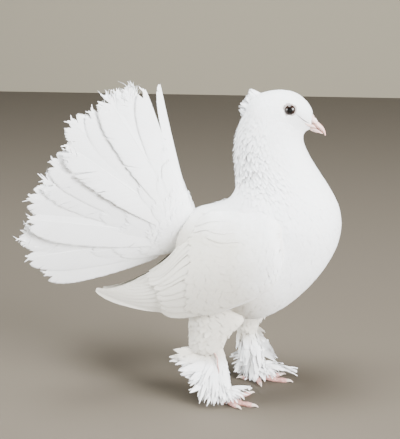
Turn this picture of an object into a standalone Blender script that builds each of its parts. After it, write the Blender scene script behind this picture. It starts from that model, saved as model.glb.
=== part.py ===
"""A white fan-tailed pigeon with a nape crest and feathered feet, standing, life size.

+X is the way the bird faces, +Y its left, +Z up. Tables and sizes are in millimetres and MM
turns them into metres. The flesh is one run of cross sections from the rump to the bill, parted
into torso, neck and head. Wings, tail halves and legs are cut to fit against it.
"""

import math
import random

import bmesh
import bpy
from mathutils import Matrix, Vector

MM = 0.001
GAP = 0.3
SEED = 7
RIGHT, LEFT = -1, 1
SIDE_NAMES = {RIGHT: "right", LEFT: "left"}

# Body sections from rump to face: back line x, z, then belly line x, z, half width, and how far
# down from the back the section is widest.
BODY_ROWS = [
    (-50.0, 160.0, -57.0, 150.0, 7.0, 0.50),
    (-47.0, 166.0, -62.0, 138.0, 16.0, 0.50),
    (-41.0, 170.0, -60.0, 121.0, 25.0, 0.52),
    (-34.0, 172.0, -49.0, 104.0, 33.0, 0.54),
    (-26.0, 174.0, -32.0, 91.0, 40.0, 0.55),
    (-19.0, 176.0, -10.0, 83.0, 45.0, 0.55),
    (-14.0, 179.0, 12.0, 80.5, 48.0, 0.54),
    (-11.0, 183.0, 34.0, 88.5, 49.5, 0.53),
    (-9.0, 187.0, 52.0, 101.0, 49.0, 0.53),
    (-8.0, 191.0, 68.0, 118.0, 47.0, 0.54),
    (-7.5, 195.0, 79.0, 137.0, 44.0, 0.55),
    (-7.5, 199.0, 83.2, 156.0, 39.5, 0.55),
    (-7.8, 204.0, 81.0, 173.0, 35.0, 0.54),
    (-8.5, 210.0, 73.5, 188.5, 30.8, 0.52),
    (-9.0, 217.0, 64.0, 203.0, 27.4, 0.50),
    (-9.0, 226.0, 55.5, 216.0, 24.8, 0.50),
    (-8.0, 236.0, 50.0, 226.5, 22.8, 0.50),
    (-5.0, 245.5, 48.3, 233.0, 21.2, 0.48),
    (-1.5, 254.0, 48.8, 236.0, 19.6, 0.47),
    (1.5, 262.0, 49.6, 237.5, 18.2, 0.46),
    (7.5, 268.5, 50.3, 238.6, 16.9, 0.46),
    (17.0, 272.4, 51.0, 239.5, 15.8, 0.46),
    (29.5, 274.0, 52.0, 240.2, 14.4, 0.47),
    (41.0, 272.0, 53.0, 240.8, 12.8, 0.48),
    (49.5, 266.3, 54.0, 241.2, 10.6, 0.50),
    (54.5, 259.8, 55.0, 241.5, 8.2, 0.50),
    (57.0, 254.0, 56.0, 241.8, 5.6, 0.50),
]
BODY_SIDES = 24
NECK_ROW, HEAD_ROW, FACE_ROW = 11, 17, 26
HEAD_STEP = 0.75

# The bill: upper and lower edge in the mid plane, half width.
UPPER_BILL_ROWS = [
    (57.1, 253.4, 56.2, 245.6, 4.5),
    (58.9, 249.6, 58.6, 243.9, 4.2),
    (62.1, 246.7, 61.3, 241.9, 3.6),
    (65.4, 243.5, 64.0, 239.9, 2.8),
    (67.3, 239.9, 66.2, 237.8, 1.8),
    (68.0, 236.4, 67.3, 235.8, 0.5),
]
LOWER_BILL_ROWS = [
    (56.7, 244.8, 56.4, 239.6, 4.0),
    (58.4, 243.5, 58.4, 238.8, 3.7),
    (61.1, 241.5, 61.4, 238.2, 3.1),
    (63.7, 239.5, 64.0, 237.6, 2.2),
    (65.3, 238.2, 65.5, 237.3, 1.0),
]
BILL_SIDES = 12
CERE_PLACE, CERE_RADII, CERE_TILT = (58.4, 1.9, 249.5), (3.5, 2.3, 1.9), 42.0
CERE_SIDES, CERE_RINGS = 10, 7
# The slit of each nostril, under the front of the cere.
NOSTRIL_PLACE, NOSTRIL_RADII, NOSTRIL_TILT = (60.9, 3.4, 246.4), (1.5, 0.6, 0.4), 32.0
NOSTRIL_SIDES, NOSTRIL_RINGS = 8, 5
# Crest feathers: root x, z on the back of the crown, tip x, z, and half spread.
CREST = (
    (13.0, 268.0, 2.6, 275.2, 0.0),
    (12.0, 266.0, 1.4, 272.6, 3.2),
    (9.0, 264.0, -1.0, 268.6, 5.6),
    (6.5, 259.0, -4.6, 262.4, 3.0),
    (6.0, 254.0, -5.4, 256.8, 7.0),
    (4.5, 249.0, -6.6, 250.4, 2.4),
)
CREST_HALF, CREST_THICKNESS, CREST_BEND = 3.2, 1.0, 0.8
# The mouth line: x, z from corner to bill, how far out the cheek lies along it, depth and height.
MOUTH_CORNER = (48.0, 250.3)
MOUTH_FRONT = (57.5, 244.9)
MOUTH_CHEEK = ((0.0, 11.6), (0.5, 9.4), (1.0, 6.2))
MOUTH_DEPTH, MOUTH_CLEAR, MOUTH_SLOT = 1.4, 2.5, 0.6

EYE_PLACE = (38.0, 10.9, 259.0)
EYE_RADIUS = 5.4
EYE_SIDES, EYE_RINGS = 14, 8
LID_RING, LID_THICKNESS, LID_OUT = 5.0, 0.9, 13.7
LID_SIDES, LID_TUBE_SIDES = 14, 5

# The tail: turn 0 is its middle, turn 1 its outer edge. Rise is degrees above level, pointing
# back, and splay is degrees out to the side.
TAIL_ROOT = (-42.0, 143.0)
TAIL_RISE_TOP, TAIL_RISE_LOW, TAIL_RISE_POWER = 73.0, -11.0, 1.15
TAIL_SPLAY = (5.0, 70.0, -62.0)
TAIL_BOW = 8.0
TAIL_LENGTHS = (136.0, 150.0, 157.0, 157.0, 155.0, 156.0, 157.0, 154.0, 142.0)
TAIL_FEATHERS, TAIL_UPPER = 13, 6
TAIL_PARTING = (TAIL_UPPER - 0.5) / (TAIL_FEATHERS - 1)
TAIL_HALF_WIDTH, TAIL_THICKNESS, TAIL_TILT = 19.0, 0.75, 0.15
TAIL_PROFILE = ((0.0, 0.4), (0.4, 0.78), (0.85, 0.92), (1.0, 0.35))
# Both halves open off the middle. Up to FREE_TURN their feathers crowd together.
TAIL_START, FREE_TURN = {RIGHT: 0.045, LEFT: 0.12}, 5 / 12
# The left half's first feather stands apart from the rest, upright in the middle.
LONE_FEATHER = {LEFT: 0}
# Shares of width left on both sides of the first feathers, where the halves part.
FIRST_WEBS = {
    RIGHT: {0: (0.15, 1.0), 1: (0.65, 1.0)},
    LEFT: {0: (0.2, 0.17), 1: (0.15, 1.0)},
}
CORE_STEPS = 4
# The tail's thick root: reach from the root, then depth above and below the feathers.
TAIL_CORE = (
    (7.0, 7.0, 2.0),
    (20.0, 7.0, 4.2),
    (36.0, 6.2, 5.0),
    (52.0, 5.4, 4.8),
)
# Covert tiers: first reach, length, half width, lift at root and tip, feathers per half.
TAIL_COVERTS = (
    (36.0, 64.0, 13.5, 3.6, 4.0, 6),
    (36.0, 32.0, 13.0, 4.6, 6.4, 5),
    (36.0, 56.0, 14.0, -4.0, -4.4, 5),
)
COVERT_TILT = 0.09
CORE_GAP, CORE_GROWTH = 0.36, 0.28

# Wing sections from wrist to tip: upper edge x, y, z, lower edge x, y, z, bulge, thickness.
WING_ROWS = [
    (34.0, 45.0, 166.0, 37.0, 49.0, 141.0, 2.0, 12.0),
    (24.0, 42.0, 178.0, 31.0, 51.0, 119.0, 9.0, 16.0),
    (8.0, 32.0, 182.0, 15.0, 50.0, 104.0, 15.0, 20.0),
    (-12.0, 23.0, 180.0, -6.0, 47.0, 93.0, 18.0, 20.0),
    (-30.0, 19.0, 173.0, -26.0, 44.0, 85.0, 18.0, 18.0),
    (-48.0, 17.0, 152.0, -50.0, 38.0, 80.5, 15.0, 13.0),
    (-68.0, 16.0, 126.0, -76.0, 31.0, 81.5, 9.0, 6.0),
    (-90.0, 14.0, 111.0, -98.0, 24.0, 84.5, 6.0, 4.0),
    (-114.0, 12.0, 106.5, -120.0, 18.0, 89.0, 3.5, 2.5),
    (-138.0, 12.0, 103.5, -141.0, 14.0, 97.0, 1.0, 1.6),
]
WING_ARC = 7
ARM_END, HAND_START, HAND_END = 5.0, 5.05, 6.7
HAND_SINK = 3.2
# Wing feather tiers: how many, first and last share down the wing, wing place of the roots, of
# the upper tip and of the lower tip, half width, lift at root and tip, drop to the next one.
ARM_TIERS = (
    (7, 0.10, 0.90, 4.0, 6.9, 5.7, 8.5, -2.4, 1.0, 0.0),
    (6, 0.13, 0.87, 2.4, 5.1, 4.7, 9.0, -3.0, 0.9, 0.0),
    (5, 0.17, 0.83, 0.9, 3.1, 2.9, 9.5, -3.0, 0.8, 0.0),
)
PRIMARY_TIER = (6, 0.16, 0.88, 5.9, 7.4, 9.0, 4.6, -4.0, -4.0, 0.4)
WING_THICKNESS, WING_TILT = 0.7, 0.16
# Feathers that lie deeper than this under the hand's face are sunk straight inward.
HAND_DEEP = -1.4
# Outline of a feather: share of its length, then share of its half width.
FEATHER_PROFILE = ((0.0, 0.5), (0.5, 1.0), (0.85, 0.85), (1.0, 0.35))
SMALL_PROFILE = ((0.0, 0.5), (0.55, 1.0), (0.85, 0.8), (1.0, 0.25))
# Leg sections from the body down, per side: centre x, y, z, half length, half breadth.
THIGH_ROWS = {
    RIGHT: [
        (-12.0, 23.0, 104.0, 26.0, 15.0),
        (-13.0, 24.5, 86.0, 30.0, 15.5),
        (-15.0, 26.0, 76.0, 28.5, 15.0),
        (-22.5, 27.5, 65.0, 22.0, 13.5),
        (-29.5, 28.0, 56.0, 16.0, 12.0),
        (-31.5, 28.5, 49.5, 13.5, 10.5),
        (-31.5, 28.5, 46.5, 9.0, 7.0),
    ],
    LEFT: [
        (6.0, 23.0, 104.0, 26.0, 15.0),
        (8.0, 24.5, 86.0, 26.0, 15.5),
        (7.0, 26.0, 76.0, 21.0, 15.0),
        (5.0, 27.5, 65.0, 15.5, 13.5),
        (4.0, 28.0, 57.0, 12.0, 11.5),
        (4.0, 28.0, 50.5, 10.5, 9.5),
        (4.0, 28.0, 47.5, 7.5, 6.5),
    ],
}
SHANK_ROWS = {
    RIGHT: [
        (-24.0, 28.5, 57.0, 7.0, 6.0),
        (-21.5, 28.4, 42.0, 7.6, 6.4),
        (-18.5, 28.2, 28.0, 7.6, 6.4),
        (-15.8, 28.0, 17.0, 6.8, 6.0),
        (-14.5, 28.0, 11.0, 5.6, 5.4),
    ],
    LEFT: [
        (3.0, 28.0, 58.0, 7.0, 6.0),
        (4.0, 28.0, 43.0, 8.4, 6.4),
        (6.5, 28.4, 28.0, 8.0, 6.4),
        (8.8, 29.0, 17.0, 6.8, 6.0),
        (9.5, 29.0, 11.0, 5.6, 5.4),
    ],
}
LEG_SIDES = 12
# Long leg feathers in runs: how many, first and last place of their roots down the shank, and
# the line of their tips x, y, z.
LEG_PLUMES = {
    RIGHT: [
        (7, 0.9, 3.2, [(-65, 39, 43), (-56, 42, 31), (-47, 45, 19), (-39, 45, 7), (-23, 42, 2)]),
        (4, 1.1, 3.2, [(-60, 27, 37), (-54, 27, 22), (-42, 25, 8)]),
        (4, 3.2, 3.6, [(-10, 45, 2.5), (3, 41, 3.5), (7, 27, 6.5), (9, 15, 5)]),
    ],
    LEFT: [
        (6, 0.9, 3.2, [(-2, 50, 37), (0, 56, 24), (6, 57, 11), (16, 54, 4)]),
        (4, 0.9, 2.6, [(17, 34, 39), (22, 38, 28), (30, 41, 14)]),
        (2, 2.0, 3.2, [(-16, 31, 20), (-14, 32, 10)]),
        (4, 3.0, 3.6, [(30, 50, 5), (50, 43, 3), (38, 31, 7), (21, 17, 5)]),
    ],
}
PLUME_HALF, PLUME_THICKNESS, PLUME_BEND = 4.6, 0.8, 3.0
# How far outside the shank's middle plumes root, their tilt, and how far every other one lies out.
PLUME_ROOT_OUT, PLUME_TILT, PLUME_STAGGER = 1.5, 0.1, 1.2
PLUME_FLOOR = 2.0

# Toes per side: name, end of the toe on the floor x, y, and radius there.
ANKLE = {RIGHT: (-14.5, 28.0), LEFT: (9.5, 29.0)}
ANKLE_TOP = 11.0
TOES = {
    RIGHT: [
        ("inner", 6.5, 8.5, 1.9),
        ("middle", 11.5, 36.0, 2.1),
        ("outer", -1.5, 40.5, 1.9),
        ("hind", -27.5, 25.0, 1.9),
    ],
    LEFT: [
        ("inner", 13.8, 15.0, 1.9),
        ("middle", 38.0, 25.5, 2.1),
        ("outer", 31.0, 41.0, 1.9),
        ("hind", -4.0, 28.0, 1.9),
    ],
}
TOE_ROOT_HEIGHT, TOE_ROOT_RADIUS = 6.5, 3.3
TOE_END_HEIGHT, TOE_END_SHARE = 1.9, 0.85
# Toe joints and pads: share of the way, height, and radius against that of the end.
TOE_JOINTS = ((0.3, 3.4, 1.25), (0.55, 2.2, 1.2), (0.66, 1.8, 1.02), (0.85, 1.9, 1.15))
TOE_SIDES = 8
# The pad under the ankle: height, then radius. The first height is the foot's top.
ANKLE_PAD = ((None, 5.0), (7.0, 5.2), (2.5, 4.8), (-1.5, 3.2))
# Claws: share of the length, rise, and radius against that of the toe.
CLAW_LENGTH = 6.5
CLAW_SHAPE = ((0.0, 0.0, 0.85), (0.05, 0.0, 0.85), (0.35, 0.5, 0.75), (0.7, 0.0, 0.5), (1.0, -1.1, 0.2))
CLAW_SIDES = 6


def clear_scene():
    for obj in list(bpy.data.objects):
        bpy.data.objects.remove(obj)


def make_collection(name):
    made = bpy.data.collections.new(name)
    bpy.context.scene.collection.children.link(made)
    return made


def make_material(name, colour, roughness):
    made = bpy.data.materials.new(name)
    made.use_nodes = True
    shader = made.node_tree.nodes["Principled BSDF"]
    shader.inputs["Base Color"].default_value = (*colour, 1.0)
    shader.inputs["Roughness"].default_value = roughness
    shader.inputs["Metallic"].default_value = 0.0
    return made


def make_object(name, points, faces, collection):
    """A closed mesh object from points in millimetres, with its faces turned outward."""
    shape = bmesh.new()
    corners = [shape.verts.new(Vector(point) * MM) for point in points]
    for face in faces:
        shape.faces.new([corners[index] for index in face])
    bmesh.ops.recalc_face_normals(shape, faces=shape.faces)
    mesh = bpy.data.meshes.new(name)
    shape.to_mesh(mesh)
    shape.free()
    made = bpy.data.objects.new(name, mesh)
    collection.objects.link(made)
    return made


def loft(name, rings, collection):
    """Joins rings of equally many points, with a flat cap on the first and the last."""
    sides = len(rings[0])
    points = [point for ring in rings for point in ring]
    faces = []
    for row in range(len(rings) - 1):
        for side in range(sides):
            here, after = row * sides + side, row * sides + (side + 1) % sides
            faces.append((here, after, after + sides, here + sides))
    last = (len(rings) - 1) * sides
    faces.append(tuple(range(sides - 1, -1, -1)))
    faces.append(tuple(range(last, last + sides)))
    return make_object(name, points, faces, collection)


def blade(rings, collection):
    """A thin closed vane from rings of top points then bottom points, split alike on both."""
    sides = len(rings[0])
    half = sides // 2
    points = [point for ring in rings for point in ring]
    faces = []
    for row in range(len(rings) - 1):
        for side in range(sides):
            here, after = row * sides + side, row * sides + (side + 1) % sides
            if side < half:
                faces.append((here, after, after + sides))
                faces.append((here, after + sides, here + sides))
            else:
                faces.append((here, after, here + sides))
                faces.append((after, after + sides, here + sides))
    last = (len(rings) - 1) * sides
    for start in (0, last):
        for side in range(half - 1):
            below = sides - 1 - side
            faces.append((start + side, start + side + 1, start + below - 1, start + below))
    return make_object("vane", points, faces, collection)


RIBBED = ((-1.0, 0.7, 1.0), (0.0, 1.0, 0.0), (1.0, 0.7, -1.0))
FLAT = ((-1.0, 0.9, 1.0), (1.0, 0.9, -1.0))


def vane(surface, rows, lifts, tilt, thickness, scraps, columns=RIBBED):
    """A feather laid on a surface. Rows are distance along, left and right width, and skew."""
    first, last = rows[0][0], rows[-1][0]
    rings = []
    for along, left, right, skew in rows:
        share = (along - first) / (last - first)
        base = lifts[0] + (lifts[1] - lifts[0]) * share
        half = thickness / 2 * (1.0 - 0.5 * share)
        top, low = [], []
        for place, thick, lean in columns:
            across = place * (left if place < 0 else right)
            reach, lift = along + skew * lean, base + tilt * across
            top.append(surface(reach, across, lift + half * thick))
            low.append(surface(reach, across, lift - half * thick))
        rings.append(top + low[::-1])
    return blade(rings, scraps)


def feather_rows(start, length, half_width, dice, profile):
    """Widths along one feather, with a little chance in its outline."""
    rows = []
    left, right = (half_width * dice.uniform(0.92, 1.06) for _ in range(2))
    for share, wide in profile:
        skew = dice.uniform(-0.03, 0.03) * length if share == 1.0 else 0.0
        rows.append((start + length * share, left * wide, right * wide, skew))
    return rows


def row_between(rows, place):
    """The row at a fractional place in a table, on a smooth curve through its rows."""
    index = min(int(place), len(rows) - 2)
    share = place - index
    before = rows[max(index - 1, 0)]
    start, end = rows[index], rows[index + 1]
    after = rows[min(index + 2, len(rows) - 1)]
    return tuple(
        0.5
        * (
            2 * b
            + (c - a) * share
            + (2 * a - 5 * b + 4 * c - d) * share**2
            + (3 * b - a - 3 * c + d) * share**3
        )
        for a, b, c, d in zip(before, start, end, after)
    )


def section_ring(row, sides, grow=0.0, shift=0.0):
    """One cross section of the body or bill, grown outward or moved along the body if asked."""
    top_x, top_z, low_x, low_z, half, widest = row
    top, low = Vector((top_x, 0, top_z)), Vector((low_x, 0, low_z))
    down = (low - top).normalized()
    along = Vector((-down.z, 0, down.x))
    top, low = top - down * grow + along * shift, low + down * grow + along * shift
    ring = []
    for side in range(sides):
        angle = 2 * math.pi * side / sides
        rise = math.cos(angle)
        drop = widest * (1 - rise) if rise > 0 else widest - (1 - widest) * rise
        ring.append(top.lerp(low, drop) + Vector((0, (half + grow) * math.sin(angle), 0)))
    return ring


def body_rings(first, last, step=1.0, grow=0.0):
    """Rings from one row of BODY_ROWS to another, held off each inner parting by half a gap."""
    count = round((last - first) / step)
    rings = []
    for index in range(count + 1):
        row = row_between(BODY_ROWS, first + index * step)
        shift = 0.0
        if index == 0 and first > 0:
            shift = GAP / 2
        if index == count:
            shift = -GAP / 2
        rings.append(section_ring(row, BODY_SIDES, grow, shift))
    return rings


def solid_mesh(obj):
    """The object's mesh with its modifiers applied."""
    graph = bpy.context.evaluated_depsgraph_get()
    return bpy.data.meshes.new_from_object(obj.evaluated_get(graph))


def keep_largest(mesh):
    """Drops every closed surface of a mesh but the one that holds most."""
    shape = bmesh.new()
    shape.from_mesh(mesh)
    left, groups = set(shape.faces), []
    while left:
        stack, group = [left.pop()], []
        while stack:
            face = stack.pop()
            group.append(face)
            for edge in face.edges:
                for other in edge.link_faces:
                    if other in left:
                        left.discard(other)
                        stack.append(other)
        groups.append(group)

    def held(group):
        total = 0.0
        for face in group:
            first = face.verts[0].co
            for one, two in zip(face.verts[1:], face.verts[2:]):
                total += first.dot(one.co.cross(two.co))
        return abs(total)

    groups.sort(key=held)
    spare = [face for group in groups[:-1] for face in group]
    bmesh.ops.delete(shape, geom=spare, context="FACES")
    shape.to_mesh(mesh)
    shape.free()


def combine(obj, pieces, operation, solver="MANIFOLD"):
    """Joins pieces to an object or cuts them from it, then removes them."""
    pool = make_collection("pieces")
    for piece in pieces:
        for home in list(piece.users_collection):
            home.objects.unlink(piece)
        pool.objects.link(piece)
    modifier = obj.modifiers.new(operation.title(), "BOOLEAN")
    modifier.operation = operation
    modifier.operand_type = "COLLECTION"
    modifier.collection = pool
    modifier.solver = solver
    mesh = solid_mesh(obj)
    obj.modifiers.clear()
    old = obj.data
    obj.data = mesh
    bpy.data.meshes.remove(old)
    for piece in pieces:
        bpy.data.objects.remove(piece)
    bpy.data.collections.remove(pool)
    keep_largest(obj.data)


def ellipsoid(name, centre, radii, tilt, collection, sides=12, rings=8):
    """A squashed sphere, tilted about Y by an angle in degrees."""
    bpy.ops.mesh.primitive_uv_sphere_add(segments=sides, ring_count=rings, radius=MM)
    made = bpy.context.object
    made.name = name
    for home in list(made.users_collection):
        home.objects.unlink(made)
    collection.objects.link(made)
    place = Matrix.Translation(Vector(centre) * MM)
    turn = Matrix.Rotation(math.radians(tilt), 4, "Y")
    made.data.transform(place @ turn @ Matrix.Diagonal((*radii, 1.0)))
    return made


def finish(obj, material):
    obj.data.materials.clear()
    obj.data.materials.append(material)
    obj.data.shade_smooth()
    obj.data.set_sharp_from_angle(angle=math.radians(35))


def make_body(bird):
    """Torso, neck and head as three lofts that meet at flat partings."""
    torso = loft("torso", body_rings(0, NECK_ROW), bird)
    neck = loft("neck", body_rings(NECK_ROW, HEAD_ROW), bird)
    head = loft("head", body_rings(HEAD_ROW, FACE_ROW, HEAD_STEP), bird)
    return torso, neck, head


def body_cutter(first, last, step, scraps):
    """The body a gap larger all round and at both ends."""
    rings = body_rings(first, last, step, GAP)
    rings[0] = section_ring(BODY_ROWS[first], BODY_SIDES, GAP, -GAP)
    rings[-1] = section_ring(BODY_ROWS[last], BODY_SIDES, GAP, GAP)
    return loft("body_cutter", rings, scraps)


def make_eyes_and_lids(head, bird, scraps):
    """Eyeballs in sockets of the head, each ringed by raised lids."""
    eyes, lids, sockets = [], [], []
    for side in (RIGHT, LEFT):
        x, y, z = EYE_PLACE
        centre = (x, side * y, z)
        grown = EYE_RADIUS + GAP
        sizes = (0, bird, EYE_SIDES, EYE_RINGS)
        eyes.append(ellipsoid(f"eye_{SIDE_NAMES[side]}", centre, (EYE_RADIUS,) * 3, *sizes))
        sizes = (0, scraps, EYE_SIDES, EYE_RINGS)
        sockets.append(ellipsoid("socket", centre, (grown,) * 3, *sizes))
        bpy.ops.mesh.primitive_torus_add(
            major_radius=LID_RING * MM,
            minor_radius=LID_THICKNESS * MM,
            major_segments=LID_SIDES,
            minor_segments=LID_TUBE_SIDES,
            location=(x * MM, side * LID_OUT * MM, z * MM),
            rotation=(math.radians(90), 0, 0),
        )
        lids.append(bpy.context.object)
    combine(head, lids, "UNION")
    combine(head, sockets, "DIFFERENCE")
    return eyes


def add_crest(head, scraps):
    """A small peak of pointed feathers at the back of the crown and down the nape."""
    dice = random.Random(SEED + 80)
    pieces = []
    for root_x, root_z, tip_x, tip_z, spread in CREST:
        for side in (RIGHT, LEFT) if spread else (LEFT,):
            root = Vector((root_x, side * spread * 0.7, root_z))
            tip = Vector((tip_x, side * spread, tip_z))
            surface = plume_surface(root, tip, Vector((-1, side * spread * 0.1, 1.2)), CREST_BEND)
            rows = feather_rows(0.0, 1.0, CREST_HALF, dice, SMALL_PROFILE)
            pieces.append(vane(surface, rows, (0.0, 0.0), 0.0, CREST_THICKNESS, scraps, FLAT))
    combine(head, pieces, "UNION", "EXACT")


def cut_mouth_line(head, scraps):
    """The line of the mouth, carried back from the bill into both cheeks."""
    slots = []
    x0, z0 = MOUTH_CORNER
    x1, z1 = MOUTH_FRONT
    half = MOUTH_SLOT / 2
    for side in (RIGHT, LEFT):
        rows = []
        for share, out in MOUTH_CHEEK:
            x, z = x0 + (x1 - x0) * share, z0 + (z1 - z0) * share
            inner, outer = (out - MOUTH_DEPTH) * side, (out + MOUTH_CLEAR) * side
            corners = ((inner, -half), (outer, -half), (outer, half), (inner, half))
            rows.append([(x, y, z + rise) for y, rise in corners])
        slots.append(loft("mouth_slot", rows, scraps))
    combine(head, slots, "DIFFERENCE")


def upper_bill(name, grow, collection):
    rings = [section_ring((*row, 0.5), BILL_SIDES, grow) for row in UPPER_BILL_ROWS]
    return loft(name, rings, collection)


def make_bill(bird, scraps):
    upper = upper_bill("bill_upper", 0.0, bird)
    lower = loft(
        "bill_lower",
        [section_ring((*row, 0.4), BILL_SIDES) for row in LOWER_BILL_ROWS],
        bird,
    )
    x, y, z = NOSTRIL_PLACE
    sizes = (NOSTRIL_RADII, NOSTRIL_TILT, scraps, NOSTRIL_SIDES, NOSTRIL_RINGS)
    slits = [ellipsoid("nostril", (x, side * y, z), *sizes) for side in (RIGHT, LEFT)]
    combine(upper, slits, "DIFFERENCE")
    return upper, lower


def make_cere(bird, scraps):
    """Two soft swellings that saddle the root of the upper bill."""
    x, y, z = CERE_PLACE
    lobes = [
        ellipsoid("cere", (x, side * y, z), CERE_RADII, CERE_TILT, bird, CERE_SIDES, CERE_RINGS)
        for side in (RIGHT, LEFT)
    ]
    cere = lobes[0]
    combine(cere, lobes[1:], "UNION")
    cutters = [upper_bill("bill_cutter", GAP, scraps)]
    combine(cere, cutters, "DIFFERENCE")
    combine(cere, [body_cutter(HEAD_ROW, FACE_ROW, HEAD_STEP, scraps)], "DIFFERENCE")
    return cere


def fan_direction(turn, side):
    """Which way a tail feather points: turn 0 is the middle of the tail, 1 its outer edge."""
    rise = math.radians(
        TAIL_RISE_TOP + (TAIL_RISE_LOW - TAIL_RISE_TOP) * abs(turn) ** TAIL_RISE_POWER
    )
    a, b, c = TAIL_SPLAY
    splay = math.radians(a + b * turn + c * turn * turn)
    level = math.cos(rise) * math.cos(splay)
    return Vector((-level, side * math.sin(splay), math.sin(rise) * math.cos(splay)))


def fan_frame(turn, side):
    """Direction, way across and outward normal of the tail at one turn, and turning rate."""
    step = 0.02
    along = fan_direction(turn, side)
    across = (fan_direction(turn + step, side) - fan_direction(turn - step, side)) / (2 * step)
    if turn < step:
        across = (fan_direction(2 * step, side) - fan_direction(0.0, side)) / (2 * step)
    rate = across.length
    across = (across - along * across.dot(along)).normalized()
    return along, across, side * across.cross(along), rate


def fan_point(turn, side, reach, lift):
    along, _, normal, _ = fan_frame(turn, side)
    root = Vector((TAIL_ROOT[0], side * GAP / 2, TAIL_ROOT[1]))
    bow = TAIL_BOW * (reach / max(TAIL_LENGTHS)) ** 2
    return root + along * reach + normal * (bow + lift)


def tail_surface(turn, side, stops=(-1.0, 2.0)):
    """Maps a feather onto the fan, kept between two turns if asked."""
    rate = fan_frame(turn, side)[3]

    def place_point(along, across, lift):
        here = turn + across / (along * rate)
        margin = CORE_GAP / 2 / (along * rate)
        here = min(max(here, stops[0] + margin), stops[1] - margin)
        return fan_point(here, side, along, lift)

    return place_point


def tail_length(turn):
    place = turn * (len(TAIL_LENGTHS) - 1)
    return row_between([(length,) for length in TAIL_LENGTHS], place)[0]


def far_half_cutter(side, scraps):
    """A block over everything past the mid plane, seen from one side of the bird."""
    near, far, size = side * GAP / 2, -side * 200.0, 400.0
    corners = [(-size, near), (size, near), (size, far), (-size, far)]
    rings = [[(x, y, z) for x, y in corners] for z in (-size, size)]
    return loft("half_cutter", rings, scraps)


def tail_core(name, side, turns, grow, home):
    """The thick root of one part of the tail, from one turn to another."""
    rings = []
    for index in range(CORE_STEPS + 1):
        turn = turns[0] + (turns[1] - turns[0]) * index / CORE_STEPS
        across = fan_frame(turn, side)[1]
        inset = across * (CORE_GAP / 2 - grow)
        nudge = inset if index == 0 else -inset if index == CORE_STEPS else Vector()
        top, low = [], []
        for place, (reach, above, below) in enumerate(TAIL_CORE):
            end = grow if place == len(TAIL_CORE) - 1 else 0.0
            top.append(fan_point(turn, side, reach + end, above + grow) + nudge)
            low.append(fan_point(turn, side, reach + end, -below - grow) + nudge)
        rings.append(top + low[::-1])
    return loft(name, rings, home)


def feather_turn(index, side):
    """Where in the fan a tail feather lies, counted from the middle."""
    spread = index / (TAIL_FEATHERS - 1)
    if LONE_FEATHER.get(side) == index:
        return spread
    return spread + TAIL_START[side] * max(0.0, 1.0 - spread / FREE_TURN)


def tail_vanes(side, first, last, scraps):
    """Tail feathers from one to another, the coverts over them, and those under them."""
    dice = random.Random(SEED + first)
    pieces = []
    for index in range(first, last):
        turn = feather_turn(index, side)
        start = TAIL_CORE[-2][0]
        length = tail_length(turn) * dice.uniform(0.98, 1.015) - start
        rows = feather_rows(start, length, TAIL_HALF_WIDTH, dice, TAIL_PROFILE)
        inner, outer = FIRST_WEBS[side].get(index, (1.0, 1.0))
        rows = [(along, left * inner, right * outer, skew) for along, left, right, skew in rows]
        pieces.append(
            vane(tail_surface(turn, side), rows, (0.0, 0.0), TAIL_TILT, TAIL_THICKNESS, scraps)
        )
    stops = (-1.0, TAIL_PARTING) if first == 0 else (TAIL_PARTING, 2.0)
    for start, length, half, root_lift, tip_lift, count in TAIL_COVERTS:
        for index in range(count):
            turn = (index + 0.5) / count
            if not stops[0] <= turn <= stops[1]:
                continue
            rows = feather_rows(start, length * dice.uniform(0.92, 1.05), half, dice, SMALL_PROFILE)
            surface, lifts = tail_surface(turn, side, stops), (root_lift, tip_lift)
            pieces.append(
                vane(surface, rows, lifts, COVERT_TILT, TAIL_THICKNESS, scraps, FLAT)
            )
    return pieces


def make_tail_part(name, side, turns, feathers, other_turns, bird, scraps):
    """One node of the fan: its root, its feathers fused on, cut clear of its neighbours."""
    part = tail_core(name, side, turns, 0.0, bird)
    combine(part, tail_vanes(side, *feathers, scraps), "UNION", "EXACT")
    cutters = [
        tail_core("core_cutter", side, other_turns, CORE_GROWTH, scraps),
        body_cutter(0, NECK_ROW, 1.0, scraps),
        far_half_cutter(side, scraps),
        wing_cutter(side, scraps),
    ]
    for cutter in cutters:
        combine(part, [cutter], "DIFFERENCE")
    return part


def make_tail_half(side, bird, scraps):
    upper, lower = (0.0, TAIL_PARTING), (TAIL_PARTING, 1.0)
    name = SIDE_NAMES[side]
    return [
        make_tail_part(f"tail_upper_{name}", side, upper, (0, TAIL_UPPER), lower, bird, scraps),
        make_tail_part(
            f"tail_lower_{name}", side, lower, (TAIL_UPPER, TAIL_FEATHERS), upper, bird, scraps
        ),
    ]


def wing_axes(row, side):
    """Upper edge, lower edge and outward direction of one wing section."""
    tx, ty, tz, lx, ly, lz = row[:6]
    top, low = Vector((tx, side * ty, tz)), Vector((lx, side * ly, lz))
    down = (low - top).normalized()
    out = Vector((0, side, 0))
    return top, low, (out - down * out.dot(down)).normalized()


def wing_bow(share):
    return math.sin(math.pi * share) ** 0.8 if 0 < share < 1 else 0.0


def wing_skin(side, place, share):
    """A point of the wing's outer face: place runs wrist to tip, share from top to bottom."""
    row = row_between(WING_ROWS, place)
    top, low, out = wing_axes(row, side)
    return top.lerp(low, share) + out * (row[6] * wing_bow(share) + 0.6)


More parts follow.
